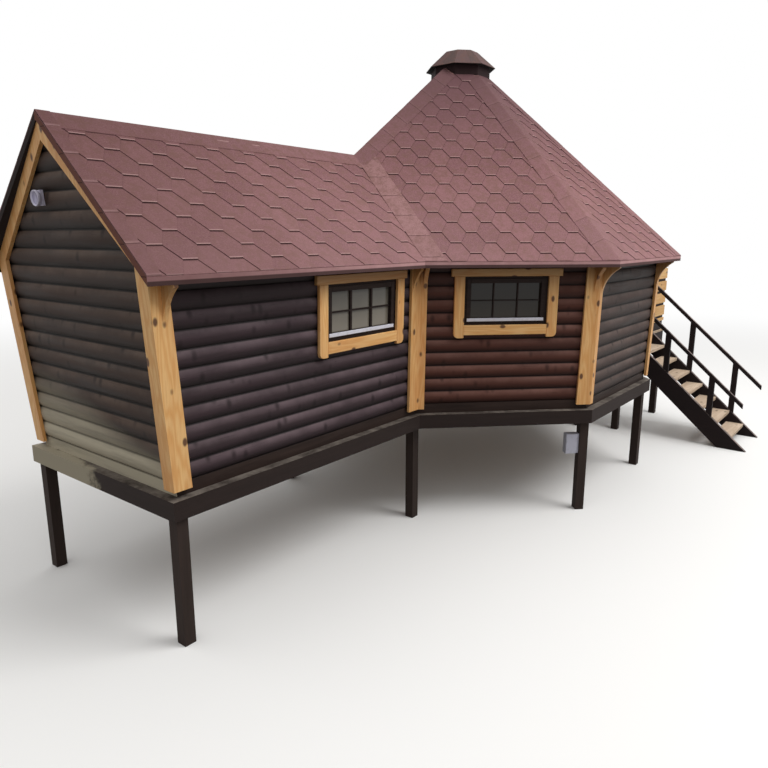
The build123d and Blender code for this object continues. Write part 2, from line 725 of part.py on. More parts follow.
# Landing beside the door face
DECK_X = (DECK_X0 + DECK_X1) / 2
DECK_MID = (DECK_Y + DECK_Y1) / 2
FRAME_TOP = DECK_Z - DECK_BOARD
with BuildPart() as deck:
    with BuildSketch(Plane.XY.offset(FRAME_TOP)):
        with Locations((DECK_X, DECK_MID)):
            Rectangle(DECK_X1 - DECK_X0, DECK_Y1 - DECK_Y)
    extrude(amount=DECK_BOARD)
save("landing_deck", deck.part)

with BuildPart() as deck_frame:
    with BuildSketch(Plane.XY.offset(FRAME_TOP - JOIST_HEIGHT)):
        with Locations((DECK_X, DECK_MID)):
            Rectangle(DECK_X1 - DECK_X0, DECK_Y1 - DECK_Y)
            Rectangle(DECK_X1 - DECK_X0 - 110, DECK_Y1 - DECK_Y - 110, mode=Mode.SUBTRACT)
            Rectangle(DECK_X1 - DECK_X0 - 20, 50)
    extrude(amount=JOIST_HEIGHT)
save("landing_frame", deck_frame.part)

LANDING_PIER = 95.0
inset = LANDING_PIER / 2
with BuildPart() as deck_piers:
    with BuildSketch(Plane.XY):
        with Locations((DECK_X0 + inset, DECK_Y + 200), (DECK_X1 - inset, DECK_Y + inset),
                       (DECK_X0 + inset, DECK_Y1 - inset), (DECK_X1 - inset, DECK_Y1 - inset)):
            Rectangle(LANDING_PIER, LANDING_PIER)
    extrude(amount=FRAME_TOP - JOIST_HEIGHT)
save("landing_piers", deck_piers.part)

# Stair: two stringers, seven treads and a rail on each stringer
near_x = DECK_X0
far_x = DECK_X0 + STRINGER + STAIR_WIDTH
foot_y = DECK_Y - STEPS * RUN
drop = STRINGER_DEPTH / cos(atan(PITCH))


def stringer_outline():
    """Side view of a stringer, from the landing to the ground."""
    return [(DECK_Y, DECK_Z), (foot_y, 0), (foot_y + drop / PITCH, 0), (DECK_Y, DECK_Z - drop)]


with BuildPart() as stringers:
    for start in (near_x, far_x):
        with BuildSketch(Plane.YZ.offset(start)):
            with BuildLine():
                Polyline(*stringer_outline(), close=True)
            make_face()
        extrude(amount=STRINGER)
save("stair_stringers", stringers.part)

with BuildPart() as treads:
    for step in range(1, STEPS):
        nose_y = DECK_Y - step * RUN
        top_z = DECK_Z - step * RISE
        with BuildSketch(Plane.XY.offset(top_z - TREAD_THICK)):
            with Locations((near_x + STRINGER + STAIR_WIDTH / 2, nose_y + TREAD_DEPTH / 2)):
                Rectangle(STAIR_WIDTH, TREAD_DEPTH)
        extrude(amount=TREAD_THICK)
save("stair_treads", treads.part)


def handrail(middle, height, ends, posts):
    """A sloping rail on posts that stand on a stringer's top edge."""
    def strip(start, end, low, high):
        y0 = DECK_Y - start
        y1 = DECK_Y - end
        return [(y0, DECK_Z - start * PITCH + low), (y1, DECK_Z - end * PITCH + low),
                (y1, DECK_Z - end * PITCH + high), (y0, DECK_Z - start * PITCH + high)]

    parts = [strip(ends[0] * RUN, ends[1] * RUN, height - RAIL_DEEP / 2, height + RAIL_DEEP / 2)]
    for post in posts:
        parts.append(strip(post * RUN - RAIL_POST / 2, post * RUN + RAIL_POST / 2, 0, height))
    with BuildPart() as rail:
        for points in parts:
            with BuildSketch(Plane.YZ.offset(middle)):
                with BuildLine():
                    Polyline(*points, close=True)
                make_face()
            extrude(amount=RAIL_THICK / 2, both=True)
    return rail.part


save("handrails",
     handrail(near_x + STRINGER / 2, RAIL_NEAR, RAIL_NEAR_ENDS, RAIL_NEAR_POSTS),
     handrail(far_x + STRINGER / 2, RAIL_FAR, RAIL_FAR_ENDS, RAIL_FAR_POSTS))

# Screen of light boards at the landing's front edge, on a dark backing
SCREEN_X0 = far_x + STRINGER + 2
SCREEN_Y = DECK_Y
with BuildPart() as backing:
    with BuildSketch(Plane.XY.offset(DECK_Z)):
        with Locations(((SCREEN_X0 + DECK_X1) / 2, SCREEN_Y + 40)):
            Rectangle(DECK_X1 - SCREEN_X0, 18)
        with Locations((SCREEN_X0 + 30, SCREEN_Y + 79), (DECK_X1 - 30, SCREEN_Y + 79)):
            Rectangle(60, 60)
    extrude(amount=FOOT_Z + 1205 - DECK_Z)
save("screen_backing", backing.part)

with BuildPart() as boards:
    for low, high in ((336, 382), (427, 585), (630, 785), (830, 979), (1024, 1183)):
        with BuildSketch(Plane.XY.offset(FOOT_Z + low)):
            with Locations(((SCREEN_X0 + DECK_X1) / 2, SCREEN_Y + 20)):
                Rectangle(DECK_X1 - SCREEN_X0, 22)
        extrude(amount=high - low)
    with BuildSketch(Plane.XY.offset(FOOT_Z + 1205)):
        with Locations(((SCREEN_X0 + DECK_X1) / 2, SCREEN_Y + 58)):
            Rectangle(DECK_X1 - SCREEN_X0, 110)
    extrude(amount=28)
save("screen_boards", boards.part)

# Lamp on the gable wall: a flat round head on a short mount
with BuildPart() as lamp:
    spot = (-205.0, 1980.0)
    with BuildSketch(gable.elevation.offset(LOG_BULGE + SEAT)):
        with Locations(spot):
            RectangleRounded(70, 110, 12)
    extrude(amount=60)
    with BuildSketch(gable.elevation.offset(LOG_BULGE + SEAT + 60)):
        with Locations(spot):
            Circle(58)
    extrude(amount=34)
    fillet(lamp.faces().sort_by(Axis.X)[0].edges(), 12)
save("gable_lamp", lamp.part)

# Service box on a bracket, at the side of the pier under the front corner
BOX_WIDTH = 124.0
BOX_DEPTH = 90.0
BOX_HEIGHT = 216.0
BOX_Z = FOOT_Z - 598.0
BOX_ARM = 24.0
pier_side = Plane(flat(247.5) * PIER_RADIUS + Vector(0, 0, BOX_Z), x_dir=flat(135), z_dir=(0, 0, 1))
with BuildPart() as service_box:
    with BuildSketch(pier_side):
        with Locations((PIER / 2 + BOX_ARM + BOX_WIDTH / 2, 0)):
            RectangleRounded(BOX_WIDTH, BOX_DEPTH, 10)
        with Locations((PIER / 2 + BOX_ARM / 2 + 5, 0)):
            Rectangle(BOX_ARM + 10, 60)
    extrude(amount=BOX_HEIGHT)
save("service_box", service_box.part)

# Export, with the origin on the ground at the middle of the whole footprint
os.makedirs("parts", exist_ok=True)
footprint = Compound([solid for solids in nodes.values() for solid in solids]).bounding_box().center()
middle = Location((-footprint.X, -footprint.Y, 0))
for name, solids in nodes.items():
    moved = [solid.moved(middle) for solid in solids]
    whole = moved[0] if len(moved) == 1 else Compound(children=moved)
    whole.label = name
    export_step(whole, f"parts/{name}.step")
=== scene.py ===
"""Sauna hut: shingles, boards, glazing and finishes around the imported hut.

Lengths are metres. The hut's own coordinates have the body's axis at x = y = 0 and the lowest log joint at
z = 0, and `Surface.place` and `in_frame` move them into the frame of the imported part.
"""
import logging
import math
from dataclasses import dataclass, field
from enum import Enum

import bmesh
import bpy
import numpy as np
from mathutils import Matrix, Vector


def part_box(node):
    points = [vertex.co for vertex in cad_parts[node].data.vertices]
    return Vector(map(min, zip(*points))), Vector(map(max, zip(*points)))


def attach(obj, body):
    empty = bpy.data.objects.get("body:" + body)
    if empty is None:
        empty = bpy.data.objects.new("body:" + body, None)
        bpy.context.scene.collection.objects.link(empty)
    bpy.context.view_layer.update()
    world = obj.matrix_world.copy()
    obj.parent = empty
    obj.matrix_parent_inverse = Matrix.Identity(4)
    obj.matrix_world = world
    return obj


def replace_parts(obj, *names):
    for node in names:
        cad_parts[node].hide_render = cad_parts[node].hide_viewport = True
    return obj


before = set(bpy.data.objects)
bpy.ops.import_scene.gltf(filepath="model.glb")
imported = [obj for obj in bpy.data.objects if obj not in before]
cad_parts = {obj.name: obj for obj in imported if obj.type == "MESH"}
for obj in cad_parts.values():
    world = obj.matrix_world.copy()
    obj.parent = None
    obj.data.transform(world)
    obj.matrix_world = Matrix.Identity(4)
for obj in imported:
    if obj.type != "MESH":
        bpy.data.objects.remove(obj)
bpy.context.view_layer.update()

BODY = "root"

log = logging.getLogger("hut")

Material = bpy.types.Material
Socket = bpy.types.NodeSocket
Tree = bpy.types.NodeTree
# Point and normal of a cutting plane in hut coordinates; what lies on the normal's side goes
Cut = tuple[np.ndarray, np.ndarray]

FLOOR_LOW, FLOOR_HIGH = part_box("body_floor")
ROOF_LOW, ROOF_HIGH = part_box("body_roof_panels")
WING_LOW, WING_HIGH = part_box("wing_roof_panels")
COLLAR_LOW, COLLAR_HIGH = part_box("vent_collar")

# The axis of the body at the lowest log joint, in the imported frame
AXIS = np.array([(FLOOR_LOW.x + FLOOR_HIGH.x) / 2, (FLOOR_LOW.y + FLOOR_HIGH.y) / 2, FLOOR_HIGH.z])
AXIS_X, AXIS_Y, AXIS_Z = AXIS.tolist()

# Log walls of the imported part: distance from the axis at the lowest joint, and outward run over rise
BODY_WALL = 2.279
WING_WALL = 0.969
GABLE_WALL = 5.141
SIDE_LEAN = 0.025
GABLE_LEAN = 0.075

# Roof sizes read back from the frame
PANEL = 0.055
COLLAR_WALL = 0.030
DIAGONAL = math.cos(math.pi / 4)
BODY_EAVE = ROOF_HIGH.y - AXIS[1]
WING_EAVE = WING_HIGH.y - AXIS[1]
EAVE = ROOF_LOW.z + PANEL - AXIS[2]
RIDGE = WING_HIGH.z - AXIS[2]
COLLAR_OUT = (COLLAR_HIGH.x - COLLAR_LOW.x) / 2
# The panels are highest where the slopes beside the wing meet at the vent hole, 45 degrees off their fall
HOLE = (COLLAR_OUT - COLLAR_WALL) * DIAGONAL
APEX = EAVE + (ROOF_HIGH.z - AXIS[2] - EAVE) / (1 - HOLE / BODY_EAVE)
BODY_FALL = (APEX - EAVE) / BODY_EAVE
WING_FALL = (RIDGE - EAVE) / WING_EAVE
WING_SLOPE = math.hypot(WING_EAVE, RIDGE - EAVE)
VERGE_X = WING_LOW.x - AXIS[0]
VALLEY_TOP = np.array([-(APEX - RIDGE) / (BODY_FALL * DIAGONAL), 0.0])
VALLEY_FOOT = np.array([-(BODY_EAVE / DIAGONAL - WING_EAVE), -WING_EAVE])
# From the middle of a slope to its hips, in degrees and in radians
HIP_ANGLE = 22.5
HIP_TURN = math.radians(HIP_ANGLE)
# The wing's two slopes and the body's two slopes beside them: 1 on the side of the stair, -1 behind
WING_SIDES = {"wing_front": 1, "wing_rear": -1}
VALLEY_SIDES = {"front_left": 1, "rear_left": -1}

# How far the tabs end from a hip or a ridge, under its caps
HIP_BACK = 0.05
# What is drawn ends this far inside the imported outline, and felt on the verge a little more
CLEAR = 0.0005
VERGE_CLEAR = 0.0006
# What lies on a face starts this far off it
ON_FACE = 0.0003
# The map of plates whose pattern needs none
NO_MAP = np.zeros((1, 1, 2))

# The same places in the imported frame, for patterns
EAVE_Z = AXIS_Z + EAVE
APEX_Z = AXIS_Z + APEX
GABLE_X = AXIS_X + VERGE_X

# Settings that many nodes share, and the sockets of a mix of colours. A MapRange node's list of inputs is
# the value, where its range starts and ends, and what it becomes at its start and at its end, or 0 and 1.
SMOOTH = {"interpolation_type": "SMOOTHSTEP"}
MULTIPLY = {"operation": "MULTIPLY"}
CLAMPED = {"operation": "MULTIPLY", "use_clamp": True}
MULTIPLY_ADD = {"operation": "MULTIPLY_ADD"}
SUBTRACT = {"operation": "SUBTRACT"}
DIVIDE = {"operation": "DIVIDE"}
ABSOLUTE = {"operation": "ABSOLUTE"}
FRACTION = {"operation": "FRACT"}
TO_AND_FRO = {"operation": "PINGPONG"}
LARGER = {"operation": "MAXIMUM"}
ABOVE = {"operation": "GREATER_THAN"}
BELOW = {"operation": "LESS_THAN"}
COLOURS = {"data_type": "RGBA"}
FACTOR, COLOUR_A, COLOUR_B, MIXED = 0, 6, 7, 2
# Cells to the metre of the grit on felt, coarser than real grit, which is too fine to show
GRIT = 110.0


def linear(colour: str) -> tuple[float, float, float, float]:
    """Turns a colour into linear light.

    Each channel c is c / 12.92 up to 0.04045, and ((c + 0.055) / 1.055) ** 2.4 above.

    Args:
        colour: sRGB hex, such as "#8a6163".

    Returns:
        Red, green, blue and an alpha of 1.
    """
    channels = np.array([int(colour[i:i + 2], 16) for i in (1, 3, 5)]) / 255
    light = np.where(channels <= 0.04045, channels / 12.92, ((channels + 0.055) / 1.055) ** 2.4)
    return (*light.tolist(), 1.0)


def in_frame(point: np.ndarray) -> Vector:
    """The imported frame's place of a point in hut coordinates."""
    return Vector((np.asarray(point, float) + AXIS).tolist())


def flat(azimuth: float) -> np.ndarray:
    """Unit vector in plan at an azimuth in degrees."""
    return np.array([math.cos(math.radians(azimuth)), math.sin(math.radians(azimuth)), 0.0])


@dataclass(frozen=True)
class Surface:
    """A plane that pieces are drawn on: u along it, v up it and w off it."""

    origin: np.ndarray
    along: np.ndarray
    up: np.ndarray
    off: np.ndarray

    def place(self, u: np.ndarray, v: np.ndarray, w: np.ndarray) -> np.ndarray:
        """Hut coordinates of points on the surface, as origin + u * along + v * up + w * off.

        Args:
            u: distances along the surface.
            v: distances up it.
            w: distances off it.

        Returns:
            An array with one more axis, of length 3.
        """
        u, v, w = np.broadcast_arrays(u, v, w)
        return self.origin + u[..., None] * self.along + v[..., None] * self.up + w[..., None] * self.off


def wall_surface(azimuth: float, distance: float, lean: float, shift: float = 0.0) -> Surface:
    """The joint plane of a leaning log wall.

    Args:
        azimuth: the way the wall faces, in degrees.
        distance: from the axis to the plane at the lowest joint.
        lean: outward run over rise.
        shift: of the origin along X.

    Returns:
        The surface, with v = 0 at the lowest joint.
    """
    out = flat(azimuth)
    angle = math.atan(lean)
    rise = np.array([0.0, 0.0, 1.0])
    up = out * math.sin(angle) + rise * math.cos(angle)
    off = out * math.cos(angle) - rise * math.sin(angle)
    return Surface(out * distance + np.array([shift, 0, 0]), np.array([-out[1], out[0], 0]), up, off)


def roof_surface(azimuth: float, reach: float, high: float, low: float = EAVE,
                 inner: float = 0.0) -> Surface:
    """The top of a roof slope, with v = 0 at its lower edge.

    Args:
        azimuth: the way the slope faces.
        reach: from the ridge or the axis out to the lower edge, in plan.
        high: height of the upper edge.
        low: height of the lower edge.
        inner: from the ridge or the axis out to the upper edge, in plan.

    Returns:
        The surface.
    """
    out = flat(azimuth)
    up = out * (inner - reach) + np.array([0, 0, high - low])
    up = up / np.linalg.norm(up)
    along = np.array([-out[1], out[0], 0])
    return Surface(out * reach + np.array([0, 0, low]), along, up, np.cross(along, up))


def build_piece(name: str, points: np.ndarray, polygons: list[np.ndarray], material: Material,
                uv: np.ndarray | None = None, tone: np.ndarray | None = None,
                smooth: bool = False) -> bpy.types.Object:
    """Makes a finished piece from arrays, rides it on the hut and reports it.

    Args:
        name: of the object.
        points: hut coordinates, any shape whose last axis is 3.
        polygons: blocks of vertex numbers, each an array of faces with as many corners.
        material: its finish.
        uv: one pair for each point, for the map named Grain.
        tone: one number from 0 to 1 for each point, for patterns that differ from board to board.
        smooth: smooth shading.

    Returns:
        The object, at the origin.
    """
    points = points.reshape(-1, 3) + AXIS
    mesh = bpy.data.meshes.new(name)
    mesh.from_pydata(points.tolist(), [], [face for block in polygons for face in block.tolist()])
    corners = np.zeros(len(mesh.loops), dtype=np.int32)
    mesh.loops.foreach_get("vertex_index", corners)
    if uv is not None:
        layer = mesh.uv_layers.new(name="Grain")
        layer.data.foreach_set("uv", uv.reshape(-1, 2)[corners].astype(np.float32).ravel())
    if tone is not None:
        attribute = mesh.attributes.new("tone", "FLOAT", "POINT")
        attribute.data.foreach_set("value", tone.astype(np.float32).ravel())
    mesh.polygons.foreach_set("use_smooth", np.full(len(mesh.polygons), smooth))
    mesh.materials.append(material)
    piece = bpy.data.objects.new(name, mesh)
    bpy.context.scene.collection.objects.link(piece)
    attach(piece, BODY)
    log.info("%s: %d faces", name, len(mesh.polygons))
    return piece


def inset(outlines: np.ndarray, distance: float) -> np.ndarray:
    """Moves the corners of anticlockwise convex outlines inward.

    A corner p between edges with inward normals m and n goes to p + distance * (m + n) / (1 + m.n).

    Args:
        outlines: (pieces, corners, 2).
        distance: how far each edge moves.

    Returns:
        The smaller outlines.
    """
    edge = np.roll(outlines, -1, axis=1) - outlines
    edge = edge / np.linalg.norm(edge, axis=2, keepdims=True)
    normal = np.stack([-edge[..., 1], edge[..., 0]], axis=2)
    before = np.roll(normal, 1, axis=1)
    share = 1 + (normal * before).sum(axis=2, keepdims=True)
    return outlines + distance * (normal + before) / share


@dataclass(frozen=True)
class Plates:
    """Closed plates drawn on a surface, from w = low to w = high, with a bevel round the outer face.

    Outlines are (plates, corners, 2), anticlockwise seen from outside. Low and high are one number, or one
    for each corner. The map is the outline unless uv gives a pair for each corner. Tone is one number for
    each plate.
    """

    surface: Surface
    outlines: np.ndarray
    low: np.ndarray | float
    high: np.ndarray | float
    bevel: float = 0.0
    uv: np.ndarray | None = None
    tone: np.ndarray | None = None

    def mesh(self) -> tuple[np.ndarray, list[np.ndarray]]:
        """Rings of corners from the inner face outward, with the faces between them.

        Returns:
            Points (plates, rings, corners, 3), and blocks of polygons.
        """
        count, corners = self.outlines.shape[:2]
        low = np.broadcast_to(self.low, (count, corners))
        high = np.broadcast_to(self.high, (count, corners))
        rings = [(self.outlines, low), (self.outlines, high - self.bevel)]
        if self.bevel:
            rings.append((inset(self.outlines, self.bevel), high))
        points = np.stack([self.surface.place(shape[..., 0], shape[..., 1], height)
                           for shape, height in rings], axis=1)
        first = np.arange(count)[:, None] * len(rings) * corners
        corner = np.arange(corners)
        following = np.roll(corner, -1)
        starts = [first + ring * corners for ring in range(len(rings))]
        sides = [np.stack([under + corner, under + following, over + following, over + corner],
                          axis=2).reshape(-1, 4) for under, over in zip(starts[:-1], starts[1:])]
        return points, [first + corner[::-1], starts[-1] + corner, *sides]


def bars(surface: Surface, boxes: list[tuple[float, ...]], bevel: float) -> list[Plates]:
    """Square bars on a surface.

    Args:
        surface: what they lie on.
        boxes: for each bar u0, v0, u1, v1, w0 and w1.
        bevel: round each bar's face.

    Returns:
        A plate for each bar.
    """
    return [Plates(surface, np.array([[(u0, v0), (u1, v0), (u1, v1), (u0, v1)]]), w0, w1, bevel)
            for u0, v0, u1, v1, w0, w1 in boxes]


def board_row(surface: Surface, left: np.ndarray, right: np.ndarray, ends: tuple[float, float],
              faces: tuple[float, float], bevel: float, seed: int) -> Plates:
    """Boards side by side along v, each with its own place in the grain.

    Args:
        surface: what they lie on.
        left: u of each board's left edge.
        right: u of each board's right edge.
        ends: v of their two ends.
        faces: w of their two faces.
        bevel: round the outer face.
        seed: of the draws.

    Returns:
        The boards.
    """
    random = np.random.default_rng(seed)
    foot, head = (np.full(len(left), end) for end in ends)
    corners = ((left, foot), (right, foot), (right, head), (left, head))
    outlines = np.stack([np.stack(corner, axis=1) for corner in corners], axis=1)
    uv = outlines[..., ::-1] + random.uniform(0, 9, (len(left), 1, 2))
    return Plates(surface, outlines, *faces, bevel, uv, random.uniform(0, 1, len(left)))


def plate_piece(name: str, batches: list[Plates], material: Material,
                cuts: list[Cut] | None = None) -> bpy.types.Object:
    """Joins plates into one piece and cuts it.

    Args:
        name: of the piece.
        batches: its plates, on one or more surfaces.
        material: its finish.
        cuts: planes that end it.

    Returns:
        The piece.
    """
    points, polygons, uvs, tones, total = [], [], [], [], 0
    for batch in batches:
        made, faces = batch.mesh()
        polygons += [face + total for face in faces]
        total += made[..., 0].size
        points.append(made.reshape(-1, 3))
        uv = batch.outlines if batch.uv is None else batch.uv
        uvs.append(np.broadcast_to(uv[:, None], (*made.shape[:-1], 2)).reshape(-1, 2))
        if batch.tone is not None:
            tones.append(np.broadcast_to(batch.tone[:, None, None], made.shape[:-1]).ravel())
    piece = build_piece(name, np.concatenate(points), polygons, material, np.concatenate(uvs),
                        np.concatenate(tones) if tones else None)
    if cuts:
        cut_away(piece, cuts)
    return piece


def cut_away(piece: bpy.types.Object, cuts: list[Cut]) -> None:
    """Cuts a piece made of closed plates by planes and closes the cuts.

    Args:
        piece: the object.
        cuts: the planes, one after another.
    """
    work = bmesh.new()
    work.from_mesh(piece.data)
    for point, normal in cuts:
        everything = work.verts[:] + work.edges[:] + work.faces[:]
        cut = bmesh.ops.bisect_plane(work, geom=everything, dist=1e-6, plane_co=in_frame(point),
                                     plane_no=Vector(normal.tolist()), clear_outer=True)
        edges = [item for item in cut["geom_cut"] if isinstance(item, bmesh.types.BMEdge)]
        bmesh.ops.holes_fill(work, edges=edges, sides=0)
    bmesh.ops.recalc_face_normals(work, faces=work.faces[:])
    work.to_mesh(piece.data)
    work.free()


def upright_cut(point: np.ndarray, direction: np.ndarray, kept: np.ndarray, back: float = 0.0) -> Cut:
    """An upright cutting plane along a plan line.

    Args:
        point: on the line.
        direction: of the line, in plan.
        kept: a plan point on the side that stays.
        back: how far the plane stands from the line, on the side that stays.

    Returns:
        The plane.
    """
    point = np.array([point[0], point[1], 0.0])
    normal = np.array([direction[1], -direction[0], 0.0])
    normal = normal / np.linalg.norm(normal)
    if (np.array([kept[0], kept[1], 0.0]) - point) @ normal > 0:
        normal = -normal
    return point - normal * back, normal


def crest_cut(azimuth: float, kept: np.ndarray, back: float = 0.0) -> Cut:
    """The upright plane under a hip or ridge that runs out from the axis; see `upright_cut`."""
    return upright_cut(np.zeros(2), flat(azimuth), kept, back)


def edge_cut(azimuth: float, reach: float) -> Cut:
    """The upright plane that ends felt a little inside an outer edge at a reach from the axis."""
    return flat(azimuth) * (reach - CLEAR), flat(azimuth)


class Grain(Enum):
    """Which way the fibres run: 1 for each axis of the pattern that follows them."""

    LEVEL = (1, 1, 0)
    UPRIGHT = (0, 0, 1)
    ALONG_X = (1, 0, 0)
    ALONG_Y = (0, 1, 0)
    BOARD = (1, 0, 0.5)


def connect(node: bpy.types.Node, inputs: dict | list | tuple) -> None:
    """Gives a node its inputs: an output is linked, anything else is set.

    Args:
        node: that takes them.
        inputs: a value for each input, in the order of its sockets, or by name or number.
    """
    for key, value in inputs.items() if isinstance(inputs, dict) else enumerate(inputs):
        if isinstance(value, Socket):
            node.id_data.links.new(value, node.inputs[key])
        else:
            node.inputs[key].default_value = value


def add(tree: Tree, kind: str, settings: dict | None = None, inputs: dict | list | tuple = (),
        output: int | str = 0) -> Socket:
    """Adds a node with its settings and links.

    Args:
        tree: of the material.
        kind: the node's type, without the word ShaderNode.
        settings: its properties.
        inputs: as for `connect`.
        output: the name or number of the output that is wanted.

    Returns:
        That output; its node has the others.
    """
    node = tree.nodes.new("ShaderNode" + kind)
    for key, value in (settings or {}).items():
        setattr(node, key, value)
    connect(node, inputs)
    return node.outputs[output]


def new_material(name: str) -> tuple[Material, Tree, bpy.types.Node]:
    """A material with only its shader and output.

    Args:
        name: of the material.

    Returns:
        The material, its node tree and its shader.
    """
    material = bpy.data.materials.new(name)
    material.use_nodes = True
    tree = material.node_tree
    return material, tree, tree.nodes["Principled BSDF"]


def layered(tree: Tree, ground: str, layers: list[tuple[Socket, Socket | str]]) -> Socket:
    """Lays colours over a ground, one after another.

    Args:
        tree: of the material.
        ground: the lowest colour, as sRGB hex.
        layers: for each how much of it shows, and its colour as sRGB hex or an output.

    Returns:
        The colour on top.
    """
    colour = linear(ground)
    for share, layer in layers:
        above = linear(layer) if isinstance(layer, str) else layer
        colour = add(tree, "Mix", COLOURS, {FACTOR: share, COLOUR_A: colour, COLOUR_B: above}, MIXED)
    return colour


def stretched(tree: Tree, grain: Grain, along: float, across: float) -> Socket:
    """Pattern coordinates that are drawn out along the fibres.

    Args:
        tree: of the material.
        grain: which way the fibres run.
        along: pattern cells to the metre along them.
        across: cells to the metre across them.

    Returns:
        The vector output.
    """
    scale = [along if axis == 1 else across for axis in grain.value]
    if grain is Grain.BOARD:
        u, v, _ = add(tree, "SeparateXYZ", inputs=[add(tree, "UVMap", {"uv_map": "Grain"})]).node.outputs
        tone = add(tree, "Attribute", {"attribute_name": "tone"}, output="Fac")
        source = add(tree, "CombineXYZ", inputs=[u, v, tone])
    else:
        source = add(tree, "TexCoord", output="Object")
    return add(tree, "Mapping", inputs={"Vector": source, "Scale": scale})


def knots_in(tree: Tree, place: Socket, chosen: float, fade: tuple[float, ...]) -> Socket:
    """Knots as the middles of some of a pattern's cells.

    Args:
        tree: of the material.
        place: the pattern's coordinates.
        chosen: the share of cells that have a knot.
        fade: distances from the middle where a knot starts and ends to fade, then its strength at each.

    Returns:
        How much of a knot shows.
    """
    cells = add(tree, "TexVoronoi", inputs={"Vector": place, "Scale": 1.0, "Randomness": 1.0}).node.outputs
    number = add(tree, "SeparateColor", inputs=[cells["Color"]])
    present = add(tree, "Math", BELOW, [number, chosen])
    core = add(tree, "MapRange", SMOOTH, [cells["Distance"], *fade])
    return add(tree, "Math", MULTIPLY, [core, present])


@dataclass(frozen=True)
class SawnWood:
    """Softwood boards, planed and stained; the eye sees cathedral grain, fine fibres and brown knots."""

    name: str
    pale: str
    body: str
    deep: str
    knot: str
    grain: Grain
    roughness: float = 0.5
    ring_spacing: float = 0.011
    knots: float = 0.5
    wear: float = 0.25
    relief: float = 0.0008
    shine: float = 0.4
    painted_eave_shade: float = 0.0

    def material(self) -> Material:
        """Grain lines are bands of a drawn-out noise; knots are the middles of drawn-out cells.

        Returns:
            The material.
        """
        made, tree, shader = new_material(self.name)
        broad = add(tree, "TexNoise", inputs={
            "Vector": stretched(tree, self.grain, 0.9, 9.0), "Scale": 1.0, "Detail": 2.0})
        bands = add(tree, "Math", MULTIPLY, [broad, 0.09 / self.ring_spacing])
        rings = add(tree, "Math", TO_AND_FRO, [bands, 0.5])
        tint = add(tree, "TexNoise", inputs={
            "Vector": stretched(tree, self.grain, 0.7, 5.0), "Scale": 1.0, "Detail": 3.0, "Distortion": 0.4})
        fibres = add(tree, "TexNoise", inputs={
            "Vector": stretched(tree, self.grain, 5.0, 170.0), "Scale": 1.0, "Detail": 4.0,
            "Roughness": 0.7})
        layers = [
            (add(tree, "MapRange", SMOOTH, [rings, 0.05, 0.5, 0.0, 0.75]), self.body),
            (add(tree, "MapRange", inputs=[tint, 0.35, 0.75, 0.0, self.wear * 2]), self.deep),
            (add(tree, "MapRange", inputs=[fibres, 0.48, 0.8, 0.0, self.wear * 1.6]), self.deep),
            (knots_in(tree, stretched(tree, self.grain, 6.0, 10.0), self.knots, (0.13, 0.25, 0.95, 0.0)),
             self.knot)]
        # painted shade: the pine darkens from 1.08 to 1.40 m up, as in the shadow under the eaves
        if self.painted_eave_shade:
            height = add(tree, "SeparateXYZ", inputs=[add(tree, "TexCoord", output="Object")], output=2)
            layers.append((add(tree, "MapRange", SMOOTH, [
                height, AXIS_Z + 1.08, AXIS_Z + 1.40, 0.0, self.painted_eave_shade]), "#6a4225"))
        connect(shader, {
            "Base Color": layered(tree, self.pale, layers), "Roughness": self.roughness,
            "Specular IOR Level": self.shine, "Normal": add(tree, "Bump", inputs={
                "Height": fibres, "Distance": self.relief, "Strength": 0.6})})
        return made


